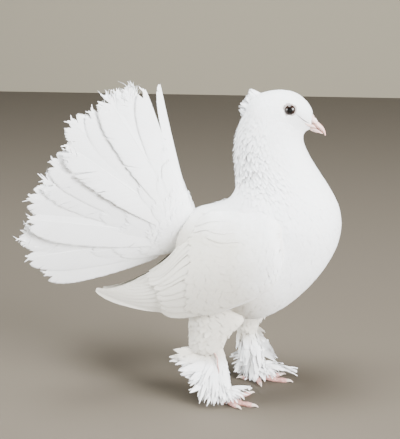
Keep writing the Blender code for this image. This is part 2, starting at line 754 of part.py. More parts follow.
def wing_point(side, place, share, lift):
    """A point lifted off the wing's outer face square to it, or straight out on the hand."""
    if place > HAND_START and lift < HAND_DEEP:
        row = row_between(WING_ROWS, place)
        return wing_skin(side, place, share) + wing_axes(row, side)[2] * lift
    step = 0.02
    share = min(max(share, 0.03), 0.97)
    run = wing_skin(side, place + step, share) - wing_skin(side, place - step, share)
    fall = wing_skin(side, place, share + step) - wing_skin(side, place, share - step)
    normal = run.cross(fall).normalized()
    if normal.y * side < 0:
        normal = -normal
    return wing_skin(side, place, share) + normal * lift


def wing_section(row, side, grow=0.0, sink=0.0):
    """A closed lens: out over the bulge from the upper edge to the lower, back on the inside."""
    top, low, out = wing_axes(row, side)
    bulge, thick = row[6:8]
    outer, inner = [], []
    for index in range(WING_ARC + 1):
        share = index / WING_ARC
        bow = wing_bow(share)
        middle = top.lerp(low, share)
        outer.append(middle + out * (bulge * bow + 0.6 + grow - sink))
        inner.append(middle + out * (bulge * bow - thick * bow - 0.6 - grow - sink))
    return outer + inner[::-1]


def wing_core(name, side, first, last, step, home, grow=0.0, sink=0.0):
    count = round((last - first) / step)
    rings = []
    for index in range(count + 1):
        row = row_between(WING_ROWS, first + (last - first) * index / count)
        rings.append(wing_section(row, side, grow, sink))
    return loft(name, rings, home)


def wing_cutter(side, scraps):
    return wing_core("wing_cutter", side, 0.0, 9.0, 0.75, scraps, grow=GAP)


def wing_surface(side, root, tip, share, tip_share):
    """Maps a feather onto the wing: along runs 0 to 1 from root to tip, across is a length."""

    def place_point(along, across, lift):
        place = root + (tip - root) * along
        row = row_between(WING_ROWS, place)
        top, low, _ = wing_axes(row, side)
        middle = share + (tip_share - share) * along
        return wing_point(side, place, middle + across / (low - top).length, lift)

    return place_point


def wing_tier(side, tier, dice, scraps, profile, columns=RIBBED):
    """One tier of feathers, from the upper one down; each overlaps the one below it."""
    count, high, low, root, tip_high, tip_low, half, root_lift, tip_lift, drop = tier
    pieces = []
    for index in range(count):
        step = index / (count - 1)
        share = high + (low - high) * step
        tip = tip_high + (tip_low - tip_high) * step + dice.uniform(-0.08, 0.08)
        surface = wing_surface(side, root, tip, share, share)
        rows = feather_rows(0.0, 1.0, half, dice, profile)
        lifts = (root_lift - index * drop, tip_lift - index * drop)
        pieces.append(vane(surface, rows, lifts, WING_TILT, WING_THICKNESS, scraps, columns))
    return pieces


def make_wing(side, bird, scraps):
    """The folded arm with its flight feathers and coverts, cut to lie against the body."""
    dice = random.Random(SEED + 50)
    wing = wing_core(f"wing_{SIDE_NAMES[side]}", side, 0.0, ARM_END, 0.625, bird)
    pieces = wing_tier(side, ARM_TIERS[0], dice, scraps, FEATHER_PROFILE)
    for tier in ARM_TIERS[1:]:
        pieces += wing_tier(side, tier, dice, scraps, SMALL_PROFILE, FLAT)
    combine(wing, pieces, "UNION", "EXACT")
    combine(wing, [body_cutter(0, HEAD_ROW, 1.0, scraps)], "DIFFERENCE")
    return wing


def make_wing_tip(side, bird, scraps):
    """The folded hand: primaries that reach back under the arm's feathers."""
    dice = random.Random(SEED + 60)
    name = f"wing_tip_{SIDE_NAMES[side]}"
    hand = wing_core(name, side, HAND_START, HAND_END, 0.8, bird, sink=HAND_SINK)
    pieces = wing_tier(side, PRIMARY_TIER, dice, scraps, FEATHER_PROFILE)
    combine(hand, pieces, "UNION", "EXACT")
    combine(hand, [body_cutter(0, HEAD_ROW, 1.0, scraps)], "DIFFERENCE", "EXACT")
    return hand


def ellipse_ring(row, side, sides, grow=0.0):
    x, y, z, half_x, half_y = row
    ring = []
    for index in range(sides):
        angle = 2 * math.pi * index / sides
        ring.append(
            Vector(
                (
                    x + (half_x + grow) * math.cos(angle),
                    side * (y + (half_y + grow) * math.sin(angle)),
                    z,
                )
            )
        )
    return ring


def leg_loft(name, rows, side, collection, grow=0.0, steps=2):
    """A loft down one leg table, with rounded values between its rows."""
    count = (len(rows) - 1) * steps
    rings = [
        ellipse_ring(row_between(rows, index / steps), side, LEG_SIDES, grow)
        for index in range(count + 1)
    ]
    if grow:
        rings[-1] = [point - Vector((0, 0, grow)) for point in rings[-1]]
    return loft(name, rings, collection)


def make_thigh(side, bird, scraps):
    thigh = leg_loft(f"thigh_{SIDE_NAMES[side]}", THIGH_ROWS[side], side, bird)
    combine(thigh, [body_cutter(0, NECK_ROW, 1.0, scraps)], "DIFFERENCE")
    combine(thigh, [wing_cutter(side, scraps)], "DIFFERENCE")
    return thigh


def plume_surface(root, tip, out, bend):
    """Maps a free feather: along runs 0 to 1 from root to tip, its face turned to one way."""
    run = tip - root
    across = run.cross(out).normalized()
    normal = across.cross(run).normalized()

    def place_point(along, offset, lift):
        arch = bend * 4 * along * (1 - along)
        return root + run * along + across * offset + normal * (lift + arch)

    return place_point


def leg_plumes(side, scraps):
    """The long feathers of the shank and toes, each run fanned along its line of tips."""
    dice = random.Random(SEED + 70)
    pieces = []
    for count, high, low, tips in LEG_PLUMES[side]:
        for index in range(count):
            share = index / (count - 1)
            x, y, z = row_between(SHANK_ROWS[side], high + (low - high) * share)[:3]
            root = Vector((x, side * (y + PLUME_ROOT_OUT), z))
            x, y, z = row_between(tips, share * (len(tips) - 1))
            tip = Vector((x, side * y, max(z, PLUME_FLOOR)))
            tip = root.lerp(tip, dice.uniform(0.9, 1.03))
            out = Vector((0.2, side, 0.35)) if tip.x < root.x + 12 else Vector((0, side * 0.3, 1))
            surface = plume_surface(root, tip, out, PLUME_BEND)
            rows = feather_rows(0.0, 1.0, PLUME_HALF, dice, SMALL_PROFILE)
            lifts = (0.0, (index % 2 - 0.5) * PLUME_STAGGER)
            pieces.append(vane(surface, rows, lifts, PLUME_TILT, PLUME_THICKNESS, scraps, FLAT))
    return pieces


def toe_path(side, name, end_x, end_y, radius):
    """Centre points and radii from the ankle out to the end of one toe."""
    ankle_x, ankle_y = ANKLE[side]
    root = Vector((ankle_x, side * ankle_y, TOE_ROOT_HEIGHT))
    end = Vector((end_x, side * end_y, TOE_END_HEIGHT))
    path = [(root, TOE_ROOT_RADIUS)]
    for share, height, swell in TOE_JOINTS:
        point = root.lerp(end, share)
        point.z = height
        path.append((point, radius * swell))
    path.append((end, radius * TOE_END_SHARE))
    return path


def tube_rings(path, sides, grow=0.0):
    """Round sections square to a path of centre points and radii."""
    rings = []
    for index, (point, radius) in enumerate(path):
        before = path[max(index - 1, 0)][0]
        after = path[min(index + 1, len(path) - 1)][0]
        along = (after - before).normalized()
        across = along.cross(Vector((0, 0, 1))).normalized()
        up = across.cross(along)
        ring = []
        for step in range(sides):
            angle = 2 * math.pi * step / sides
            ring.append(point + (across * math.cos(angle) + up * math.sin(angle)) * (radius + grow))
        rings.append(ring)
    return rings


def floor_cutter(scraps):
    size = 400.0
    corners = [(-size, -size), (size, -size), (size, size), (-size, size)]
    rings = [[(x, y, z) for x, y in corners] for z in (-20.0, 0.0)]
    return loft("floor_cutter", rings, scraps)


def foot_shape(name, side, grow, home, scraps):
    """Four toes joined at the ankle, over a low pad."""
    ankle_x, ankle_y = ANKLE[side]
    top = ANKLE_TOP - GAP / 2 + 0.8 * grow
    rings = []
    for height, radius in ANKLE_PAD:
        row = (ankle_x, ankle_y, top if height is None else height, radius, radius)
        rings.append(ellipse_ring(row, side, LEG_SIDES, grow))
    foot = loft(name, rings, home)
    toes = []
    for toe in TOES[side]:
        toes.append(loft("toe", tube_rings(toe_path(side, *toe), TOE_SIDES, grow), scraps))
    combine(foot, toes, "UNION", "EXACT")
    return foot


def make_foot(side, bird, scraps):
    """The foot, worn flat where it stands."""
    foot = foot_shape(f"foot_{SIDE_NAMES[side]}", side, 0.0, bird, scraps)
    combine(foot, [floor_cutter(scraps)], "DIFFERENCE")
    return foot


def make_claw(side, toe, bird):
    """A hooked claw that starts a gap beyond the end of its toe and stays off the floor."""
    path = toe_path(side, *toe)
    end, radius = path[-1]
    along = end - path[-2][0]
    along.z = 0
    along = along.normalized()
    centres = []
    for share, rise, thick in CLAW_SHAPE:
        centre = end + along * (GAP + CLAW_LENGTH * share) + Vector((0, 0, rise))
        centres.append((centre, radius * thick))
    name = f"claw_{SIDE_NAMES[side]}_{toe[0]}"
    return loft(name, tube_rings(centres, CLAW_SIDES), bird)


def make_leg(side, bird, scraps):
    thigh = make_thigh(side, bird, scraps)
    rows = list(SHANK_ROWS[side])
    x, y, z, half_x, half_y = rows[-1]
    rows[-1] = (x, y, z + GAP / 2, half_x, half_y)
    shank = leg_loft(f"shank_{SIDE_NAMES[side]}", rows, side, bird)
    combine(shank, leg_plumes(side, scraps), "UNION", "EXACT")
    grown = leg_loft("thigh_cutter", THIGH_ROWS[side], side, scraps, GAP)
    combine(shank, [grown], "DIFFERENCE")
    for cutter in (foot_shape("foot_cutter", side, GAP, scraps, scraps), floor_cutter(scraps)):
        combine(shank, [cutter], "DIFFERENCE")
    foot = make_foot(side, bird, scraps)
    claws = [make_claw(side, toe, bird) for toe in TOES[side]]
    return thigh, shank, foot, claws


def put_origin_under_middle(objects):
    """Moves all meshes so that the middle of the model's base is at the origin."""
    points = [vertex.co for obj in objects for vertex in obj.data.vertices]
    low = Vector([min(point[axis] for point in points) for axis in range(3)])
    high = Vector([max(point[axis] for point in points) for axis in range(3)])
    shift = Vector((-(low.x + high.x) / 2, -(low.y + high.y) / 2, -low.z))
    for obj in objects:
        obj.data.transform(Matrix.Translation(shift))


def main():
    clear_scene()
    bird = make_collection("pigeon")
    scraps = make_collection("scraps")
    white = make_material("plumage", (0.86, 0.86, 0.85), 0.75)
    pink = make_material("bill", (0.80, 0.56, 0.50), 0.4)
    pale = make_material("cere", (0.84, 0.78, 0.75), 0.6)
    dark = make_material("eye", (0.03, 0.015, 0.01), 0.1)
    skin = make_material("foot", (0.80, 0.52, 0.46), 0.5)
    horn = make_material("claw", (0.72, 0.62, 0.55), 0.35)
    torso, neck, head = make_body(bird)
    add_crest(head, scraps)
    eyes = make_eyes_and_lids(head, bird, scraps)
    cut_mouth_line(head, scraps)
    upper, lower = make_bill(bird, scraps)
    cere = make_cere(bird, scraps)
    tails = make_tail_half(RIGHT, bird, scraps) + make_tail_half(LEFT, bird, scraps)
    wings = [make_wing(side, bird, scraps) for side in (RIGHT, LEFT)]
    wings += [make_wing_tip(side, bird, scraps) for side in (RIGHT, LEFT)]
    legs = [make_leg(side, bird, scraps) for side in (RIGHT, LEFT)]
    for obj in (torso, neck, head, *tails, *wings):
        finish(obj, white)
    for thigh, shank, foot, claws in legs:
        finish(thigh, white)
        finish(shank, white)
        finish(foot, skin)
        for claw in claws:
            finish(claw, horn)
    for obj in (upper, lower):
        finish(obj, pink)
    finish(cere, pale)
    for obj in eyes:
        finish(obj, dark)
    put_origin_under_middle(list(bird.objects))


main()
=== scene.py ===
"""Looks of a standing white fan-tailed pigeon with a nape crest and feathered feet.

The flesh is one skin under a coat of modelled feathers. Tables and lengths are in millimetres,
in the bird's own frame: +X the way it faces, +Y its left, +Z up. ORIGIN moves them to the row.
"""

import math
from itertools import product

import bmesh
import bpy
import numpy as np
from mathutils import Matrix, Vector
from mathutils.bvhtree import BVHTree


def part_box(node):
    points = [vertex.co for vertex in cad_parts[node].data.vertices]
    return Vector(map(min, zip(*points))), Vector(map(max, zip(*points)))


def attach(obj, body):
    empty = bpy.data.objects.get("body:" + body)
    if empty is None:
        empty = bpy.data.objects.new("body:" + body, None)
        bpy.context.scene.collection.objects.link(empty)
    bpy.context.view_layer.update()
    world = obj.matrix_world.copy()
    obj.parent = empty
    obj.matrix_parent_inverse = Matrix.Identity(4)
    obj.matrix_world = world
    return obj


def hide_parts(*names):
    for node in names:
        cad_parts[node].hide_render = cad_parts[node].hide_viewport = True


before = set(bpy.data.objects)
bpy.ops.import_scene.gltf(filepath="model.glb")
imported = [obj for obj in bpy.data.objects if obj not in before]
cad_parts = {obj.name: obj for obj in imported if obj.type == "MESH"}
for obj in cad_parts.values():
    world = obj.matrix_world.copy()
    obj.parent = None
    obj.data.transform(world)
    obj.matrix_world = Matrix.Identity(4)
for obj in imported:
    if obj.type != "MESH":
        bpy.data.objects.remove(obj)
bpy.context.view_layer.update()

MM = 0.001
SEED = 11
RIGHT, LEFT = -1, 1
SIDE_NAMES = {RIGHT: "right", LEFT: "left"}
EYE_PLACE = (38.0, 10.9, 259.0)
EYE_RADIUS = 5.4
# How far the lids keep feathers off the eye, and how far their roots stay away.
LID_REACH, EYE_CLEAR, SHORTEST = 6.2, 6.5, 0.9
LID_WIDE, LID_TALL, LID_THICK, LID_RAISE, LID_RAISE_TURN = 4.85, 4.7, 0.78, 0.9, 0.9


def find_origin():
    """Where the bird frame's zero lies in the row, read off the right eye."""
    low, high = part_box("eye_right")
    x, y, z = EYE_PLACE
    return np.array((low + high) / 2) / MM - np.array((x, -y, z))


ORIGIN = find_origin()

# Body sections from rump to face: back line x, z, then belly line x, z, half width, and how far
# down from the back the section is widest.
BODY_ROWS = [
    (-50, 160, -57, 150, 7, 0.50),
    (-47, 166, -62, 138, 16, 0.50),
    (-41, 170, -60, 121, 25, 0.52),
    (-34, 172, -49, 104, 33, 0.54),
    (-26, 174, -32, 87, 40, 0.55),
    (-19, 176, -10, 76, 45, 0.55),
    (-14, 179, 12, 72, 48, 0.54),
    (-11, 183, 33, 81.5, 49.5, 0.53),
    (-9, 187, 51, 96.5, 49, 0.53),
    (-8, 191, 67.5, 116, 47, 0.54),
    (-7.5, 195, 79, 137, 44, 0.55),
    (-7.5, 199, 83.2, 156, 39.5, 0.55),
    (-7.8, 204, 81, 173, 35, 0.54),
    (-8.5, 210, 73.5, 188.5, 30.8, 0.52),
    (-9, 217, 64, 203, 27.4, 0.50),
    (-9, 226, 55.5, 216, 24.8, 0.50),
    (-8, 236, 50, 226.5, 22.8, 0.50),
    (-5, 245.5, 48.3, 233, 21.2, 0.48),
    (-1.5, 254, 48.8, 236, 19.6, 0.47),
    (1.5, 262, 49.6, 237.5, 18.2, 0.46),
    (7.5, 268.5, 50.3, 238.6, 16.9, 0.46),
    (17, 272.4, 51, 239.5, 15.8, 0.46),
    (29.5, 274, 52, 240.2, 14.4, 0.47),
    (41, 272, 53, 240.8, 12.8, 0.48),
    (49.5, 266.3, 54, 241.2, 10.6, 0.50),
    (54.5, 259.8, 55, 241.5, 8.2, 0.50),
    (57, 254, 56, 241.8, 5.6, 0.50),
]
HEAD_ROW, FACE_ROW = 17.0, 26.0
COAT_DEPTH, SKIN_DEPTH, SHANK_SKIN_DEPTH = 2.2, 1.7, 2.0
# Small feathers of the body from rump to face: place, length, half width and spacing.
BODY_PLACES = (0, 4, 8, 11, 13, 16, 18, 21, 24, 26)
BODY_LENGTHS = (22, 19, 15, 13, 11.5, 9.5, 8, 6.5, 4.5, 3.2)
BODY_HALVES = (5.0, 4.6, 3.8, 3.4, 2.7, 2.2, 1.9, 1.6, 1.15, 0.9)
BODY_GAPS = (3.4, 3.2, 2.7, 2.3, 1.8, 1.55, 1.4, 1.2, 0.95, 0.75)
BODY_TRIES = 140000
# Rows where the back, the breast and the neck end, each a piece of its own.
REGION_ENDS = (7.0, 11.5, HEAD_ROW)
# Small feathers root less deep towards the face: place and share of the coat's depth.
DEPTH_PLACES, DEPTH_SHARES = (0, 18, 24, 26), (1, 1, 0.6, 0.4)
# The hackles: row where they stand highest, rows they fade over, how high, and how much slimmer
# and longer they are. On the nape, within an angle, they stand higher still.
HACKLE_ROW, HACKLE_FADE, HACKLE_STAND, HACKLE_STRETCH, NAPE_ANGLE = 15.0, 3.2, 1.3, 0.3, 0.6

# The crest from its peak down the nape: root x, z, tip x, z, half spread.
CREST = [
    (14.5, 267, 3.2, 274.6, 1.2),
    (11, 264, 1, 270.6, 2.4),
    (9, 261, -0.4, 267.2, 3.6),
    (7.5, 258.5, -4.6, 262.2, 4.4),
    (6, 255, -5.8, 258.2, 4.8),
    (5, 251.5, -5, 254, 5),
    (4, 248.5, -2.6, 250, 5.2),
]
CREST_FEATHERS, CREST_DEPTH = 130, 4.0
CREST_HALF, CREST_BARBS, CREST_FRAY = (1.8, 2.8), 13, 0.4

# The slit of a nostril under the front of the cere, drawn as a thin dark tube of painted shade where the
# opening lies in shade.
NOSTRIL = [(57.4, 4.4, 247.4), (58.7, 4.18, 247.0), (60.0, 3.8, 246.3), (61.0, 3.5, 245.6)]
NOSTRIL_RADII = (0.05, 0.24, 0.26, 0.05)

UPPER_BILL_ROWS = [
    (54.6, 254.6, 53.8, 246.6, 4.9),
    (57.1, 253.4, 56.2, 245.6, 4.5),
    (58.9, 249.6, 58.6, 243.9, 4.2),
    (62.1, 246.7, 61.3, 241.9, 3.6),
    (65.4, 243.5, 64, 239.9, 2.8),
    (67.3, 239.9, 66.2, 237.8, 1.8),
    (68, 236.4, 67.3, 235.8, 0.5),
]
LOWER_BILL_ROWS = [
    (53.4, 245.8, 53.2, 241.8, 4.4),
    (55.6, 245.2, 55.4, 240, 4.1),
    (58.4, 243.6, 58.4, 238.8, 3.8),
    (61.1, 241.6, 61.4, 238.2, 3.2),
    (63.7, 239.6, 64, 237.6, 2.3),
    (65.3, 238.3, 65.5, 237.4, 0.9),
]
CERE_PLACE, CERE_RADII, CERE_TILT = (58.3, 1.8, 249.2), (3.3, 2.2, 1.3), 46.0

TAIL_ROOT, TAIL_HALF_GAP = (-42.0, 143.0), 0.15
TAIL_RISE_TOP, TAIL_RISE_LOW, TAIL_RISE_POWER = 73.0, -11.0, 1.15
TAIL_SPLAY = (5.0, 70.0, -62.0)
TAIL_BOW = 8.0
TAIL_LENGTHS = (136.0, 150.0, 157.0, 157.0, 155.0, 156.0, 157.0, 154.0, 142.0)
TAIL_FEATHERS = 13
TAIL_HALF_WIDTH, TAIL_TILT, TAIL_CUP = 19.0, 0.15, 0.004
# Feathers of the fan that stand out in a fold: index, lift, and extra tilt.
TAIL_FOLDS = {
    2: (0.8, 0.04),
    4: (0.6, 0.02),
    5: (1.6, 0.10),
    6: (-0.6, 0.0),
    9: (1.4, 0.10),
    10: (-0.6, 0.0),
}
# Half widths of the inner and outer webs of the first feathers, so a gap opens between the halves.
FIRST_WEBS = {
    RIGHT: {0: (2.5, 19.0), 1: (12.0, 19.0)},
    LEFT: {0: (8.0, 6.0), 1: (0.8, 19.0)},
}
TAIL_START, FREE_TURN = {RIGHT: 0.045, LEFT: 0.12}, 5 / 12
# Worn feathers of the fan, whose tips are frayed and curl into tufts.
WORN, WORN_FRAY, SOUND_FRAY = (1, 2, 5, 7, 10), 1.5, 0.2
TAIL_BARE_ROOT, TAIL_BARBS, TAIL_SHAFT = 26.0, 120, 0.5
# Coverts above the fan, then below: count, bare root, length, half width, root and tip lift, barbs.
TAIL_COVERTS = [
    (25, 34, 104, 11, 2.4, 1.3, 40),
    (25, 20, 78, 10, 3.6, 2.3, 30),
    (23, 14, 56, 9, 5, 3.3, 25),
    (23, 4, 38, 7.5, 6, 4.6, 16),
    (18, 30, 88, 14, -3.2, -3.8, 28),
    (16, 18, 60, 12, -4.6, -4.8, 22),
]
# The flesh in the root of the fan: reach, and how far it rises above and below.
TAIL_CORE = [(7.0, 4.4, 1.6), (20.0, 3.8, 2.8), (36.0, 2.9, 3.0), (50.0, 2.0, 2.4), (62.0, 0.7, 0.9)]
# Small feathers over the root of the fan: farthest reach, run inward, lift there and its rise.
RUMP_REACH, RUMP_RUN, RUMP_LIFT, RUMP_RISE = 34.0, 30.0, 3.6, 2.0
RUMP_LENGTHS, RUMP_HALVES, RUMP_GAP, RUMP_TRIES = (7.5, 11.0), (2.2, 3.0), 2.3, 12000

WING_ROWS = [
    (34, 45, 166, 37, 49, 141, 2, 12),
    (24, 43, 174, 31, 51, 119, 9, 16),
    (8, 34, 175.5, 15, 50, 104, 15, 20),
    (-12, 25, 172.5, -6, 47, 93, 18, 20),
    (-30, 20, 169, -26, 44, 85, 18, 18),
    (-48, 17, 152.5, -50, 38, 80.5, 15, 13),
    (-68, 16, 126, -76, 31, 81.5, 9, 6),
    (-90, 14, 111, -98, 24, 84.5, 6, 4),
    (-114, 12, 106.5, -120, 18, 89, 3.5, 2.5),
    (-138, 12, 103.5, -141, 14, 97, 1, 1.6),
]
WING_ROUND, WING_PROUD, WING_TILT = 0.8, 0.6, 0.09
ARM_END, HAND_END, ARM_SINK, HAND_SINK = 5.0, 6.4, 0.4, 5.0
# The left wing's tip hangs lower: how much, and over which places.
LEFT_TIP_DROP, DROP_START, DROP_RUN = 7.0, 5.5, 3.0
# Primaries, secondaries, greater and median coverts, scapulars: count, first and last share of the
# wing's height, root, first and last tip, half width, root and tip lift, barbs, step down, fray.
WING_TIERS = [
    (9, 0.14, 0.90, 4.5, 7.5, 9, 5.4, -1.6, -1.9, 66, 0.10, 0.15),
    (11, 0.06, 0.89, 3.4, 7, 5.9, 8.5, -1.4, 0.9, 56, 0, 0.15),
    (11, 0.06, 0.90, 2.3, 5.2, 4.8, 8, -1.2, 0.6, 36, 0, 0.12),
    (10, 0.08, 0.90, 1.5, 3.9, 3.6, 8, -1, 0.75, 30, 0, 0.12),
    (6, 0.00, 0.24, 0.6, 5.2, 4, 8.5, -1, 1.3, 36, 0, 0.15),
]
# Small coverts by place up from the tip: length, half width and spacing. Then how far they reach.
ARM_PLACES, ARM_LENGTHS, ARM_HALVES = (0.0, 2.2, 4.2), (15.0, 12.0, 8.0), (4.6, 3.6, 2.4)
ARM_GAPS, ARM_REACH, ARM_TRIES = (3.8, 3.0, 2.2), 4.2, 26000

THIGH_ROWS = {
    RIGHT: [
        (-22, 19, 104, 14, 9),
        (-22, 21, 88, 21, 10.5),
        (-22, 24.5, 76, 24, 13),
        (-27, 27, 65, 18.5, 13),
        (-30, 28, 56, 15.5, 12),
        (-31.5, 28.5, 49.5, 13.5, 10.5),
        (-31.5, 28.5, 46.5, 9, 7),
    ],
    LEFT: [
        (4, 19, 104, 14, 9),
        (6, 21, 88, 22, 10.5),
        (5, 24.5, 76, 21, 13),
        (2.5, 27, 65, 15, 13),
        (0.5, 28, 57, 11, 11),
        (-0.5, 28, 50.5, 9.5, 9.5),
        (-0.5, 28, 46, 7, 6.5),
    ],
}
SHANK_ROWS = {
    RIGHT: [
        (-24, 28.5, 57, 7, 6),
        (-21.5, 28.4, 42, 7.6, 6.4),
        (-18.5, 28.2, 28, 7.6, 6.4),
        (-15.8, 28, 17, 6.8, 6),
        (-14.5, 28, 9, 5.6, 5.4),
    ],
    LEFT: [
        (-0.5, 28, 58, 7, 6),
        (1, 28, 43, 8, 6.4),
        (6.5, 28.4, 28, 8, 6.4),
        (8.8, 29, 17, 6.8, 6),
        (9.5, 29, 9, 5.6, 5.4),
    ],
}
LEG_PLUMES = {
    RIGHT: [
        (15, 0.5, 1.8, 3.8, [(-60, 37, 49), (-65, 40, 43), (-60, 41, 37), (-53, 42, 31)]),
        (15, 1, 2.8, 3.2, [(-51, 42, 28), (-47, 44, 21), (-43, 44, 14), (-39, 45, 8)]),
        (15, 0.6, 3, 3.2, [(-58, 28, 44), (-56, 27, 34), (-46, 27, 20), (-38, 27, 7)]),
        (22, 0.7, 2.4, 1.8, [(-42, 43, 10), (-34, 46, 5), (-27, 46, 2), (-20, 44, 2), (-15, 41, 2)]),
        (20, 0.5, 1.3, 1.9, [(-41, 41, 22), (-36, 44, 14), (-28, 46, 7), (-20, 45, 4), (-15, 42, 6)]),
        (18, 3.2, 3.9, 2.2, [(-9, 41, 5.5), (-1, 39, 5.5), (5, 34, 5.5), (3, 22, 6), (2, 11, 6)]),
        (18, 3, 3.6, 1.6, [(-12, 44, 2.5), (-3, 41, 3), (4, 33, 4.5), (9, 15, 6), (9, 9, 6)]),
    ],
    LEFT: [
        (20, 0.4, 3.2, 2.6, [(-2, 50, 37), (0, 56, 24), (6, 57, 11), (16, 54, 4)]),
        (18, 0.3, 2.6, 2.6, [(17, 34, 40), (21, 38, 29), (27, 40, 20), (31, 41, 13)]),
        (14, 0.3, 3.4, 2.4, [(-8, 32, 40), (-8, 33, 24), (-5, 34, 12)]),
        (18, 1.8, 3.4, 1.8, [(-15, 31, 22), (-18, 31, 14), (-13, 29, 7), (-12, 28, 4)]),
        (16, 0.3, 3.4, 2.4, [(14, 24, 36), (16, 22, 24), (19, 20, 12), (20, 20, 8)]),
        (18, 3.2, 3.9, 2.2, [(24, 39, 5.5), (29, 33, 5.5), (28, 27, 5.5), (16, 18, 6)]),
        (20, 3, 3.6, 1.6, [(30, 50, 5), (50, 43, 3), (42, 36, 6), (32, 28, 7), (20, 18, 5)]),
    ],
}

ANKLE = {RIGHT: (-14.5, 28.0), LEFT: (9.5, 29.0)}
TOES = {
    RIGHT: [
        ("inner", 6.5, 8.5, 1.9),
        ("middle", 11.5, 36, 2.1),
        ("outer", -1.5, 40.5, 1.9),
        ("hind", -27.5, 25, 1.9),
    ],
    LEFT: [
        ("inner", 13.8, 15, 1.9),
        ("middle", 38, 25.5, 2.1),
        ("outer", 31, 41, 1.9),
        ("hind", -4, 28, 1.9),
    ],
}
TOE_ROOT_HEIGHT, TOE_ROOT_RADIUS = 6.5, 3.3
TOE_END_HEIGHT, CLAW_LENGTH = 1.9, 6.5
# Along a toe from its root: share of the way, height, and how much thicker it is.
KNUCKLES = ((0.3, 3.4, 1.25), (0.55, 2.2, 1.2), (0.66, 1.8, 1.02), (0.85, 1.9, 1.15))
ANKLE_HEIGHTS, ANKLE_RADII = (-0.5, 1.5, 4.0, 7.0, 10.0, 12.5), (3.4, 4.4, 4.9, 5.0, 4.6, 4.0)
# The loose plumes round a shank: count, how far they swing out and hang down, half width, barbs.
RUFF_FEATHERS, RUFF_SWING, RUFF_DROP = 80, (1.5, 6.0), (11.0, 19.0)
RUFF_HALF, RUFF_BARBS, RUFF_FRAY = (1.8, 3.2), 14, 1.2
# Small feathers of a leg: rows, last place, spacing and length.
LEG_COVERS = ((THIGH_ROWS, 5.9, 2.6, 12.0), (SHANK_ROWS, 3.9, 2.4, 9.0))
LEG_TRIES, LEG_ROOT_DEPTH = 14000, 2.0
# How far plumes keep off the floor, how much they stray, their barbs and fray.
PLUME_CLEAR, PLUME_STRAY, PLUME_BARBS, PLUME_FRAY = 1.5, 1.2, 19, 1.4
# A plume whose tip is this high, or this little ahead of its root, faces outward.
PLUME_HIGH, PLUME_AHEAD = 9, 6

# Numbers and surfaces.


def rows_at(rows, place):
    """Rows of a table at fractional places, on a smooth curve through its rows."""
    table = np.asarray(rows, float)
    place = np.clip(np.asarray(place, float), 0, len(table) - 1)
    index = np.clip(place.astype(int), 0, len(table) - 2)
    share = (place - index)[..., None]
    before, start = table[np.maximum(index - 1, 0)], table[index]
    end, after = table[index + 1], table[np.minimum(index + 2, len(table) - 1)]
    return 0.5 * (
        2 * start
        + (end - before) * share
        + (2 * before - 5 * start + 4 * end - after) * share**2
        + (3 * start - before - 3 * end + after) * share**3
    )


def rows_along(rows, count):
    """Each column of a table at even places from its first row to its last."""
    return rows_at(rows, np.linspace(0, len(rows) - 1, count)).T


def round_angles(sides):
    return np.arange(sides) * 2 * math.pi / sides


def unit(vectors):
    return vectors / np.maximum(np.linalg.norm(vectors, axis=-1, keepdims=True), 1e-9)


def section_point(row, angle, widest):
    """A point of an upright section of body or bill, angle from its top round."""
    rise = np.cos(angle)
    drop = np.where(rise > 0, widest * (1 - rise), widest - (1 - widest) * rise)
    x = row[..., 0] + (row[..., 2] - row[..., 0]) * drop
    z = row[..., 1] + (row[..., 3] - row[..., 1]) * drop
    return np.stack([x, row[..., 4] * np.sin(angle), z], -1)


def body_face(place, angle):
    """The body's outer face: place runs rump to face, angle from the back round."""
    row = rows_at(BODY_ROWS, place)
    return section_point(row, angle, row[..., 5])


def bill_face(rows, widest):
    def face(place, angle):
        return section_point(rows_at(rows, place), angle, widest)

    return face


def leg_face(rows, side):
    """The face of a thigh or shank: place runs down the table, angle round it."""

    def face(place, angle):
        row = rows_at(rows, place)
        x = row[..., 0] + row[..., 3] * np.cos(angle)
        y = side * (row[..., 1] + row[..., 4] * np.sin(angle))
        return np.stack([x, y, row[..., 2]], -1)

    return face


def wing_axes(row, side):
    top = np.stack([row[..., 0], side * row[..., 1], row[..., 2]], -1)
    low = np.stack([row[..., 3], side * row[..., 4], row[..., 5]], -1)
    down = unit(low - top)
    out = np.zeros_like(down)
    out[..., 1] = side
    out = unit(out - down * (out * down).sum(-1, keepdims=True))
    return top, low, out


def wing_face(side):
    """The outer face of a folded wing: place runs wrist to tip, share from top to bottom."""

    def face(place, share):
        row = rows_at(WING_ROWS, place)
        top, low, out = wing_axes(row, side)
        sunk = LEFT_TIP_DROP * np.clip((place - DROP_START) / DROP_RUN, 0.0, 1.0) * (side == LEFT)
        sunk = np.stack([0 * sunk, 0 * sunk, sunk], -1)
        top, low = top - sunk, low - sunk
        bow = np.sin(math.pi * np.clip(share, 0.0, 1.0)) ** WING_ROUND
        swell = (row[..., 6] * bow + WING_PROUD)[..., None]
        return top + (low - top) * share[..., None] + out * swell

    return face


def flip(face, top):
    """The same face with its places counted back from top, so that feathers run along it."""

    def flipped(place, share):
        return face(top - place, share)

    return flipped


def square_to(face, u, v, step_u, step_v, sign):
    """Outward normals of a face, by small steps along it."""
    run = face(u + step_u, v) - face(u - step_u, v)
    turn = face(u, v + step_v) - face(u, v - step_v)
    return unit(np.cross(run, turn)) * sign


def fan_direction(turn, side):
    rise = np.radians(
        TAIL_RISE_TOP + (TAIL_RISE_LOW - TAIL_RISE_TOP) * np.abs(turn) ** TAIL_RISE_POWER
    )
    a, b, c = TAIL_SPLAY
    splay = np.radians(a + b * turn + c * turn * turn)
    level = np.cos(rise) * np.cos(splay)
    return np.stack([-level, side * np.sin(splay), np.sin(rise) * np.cos(splay)], -1)


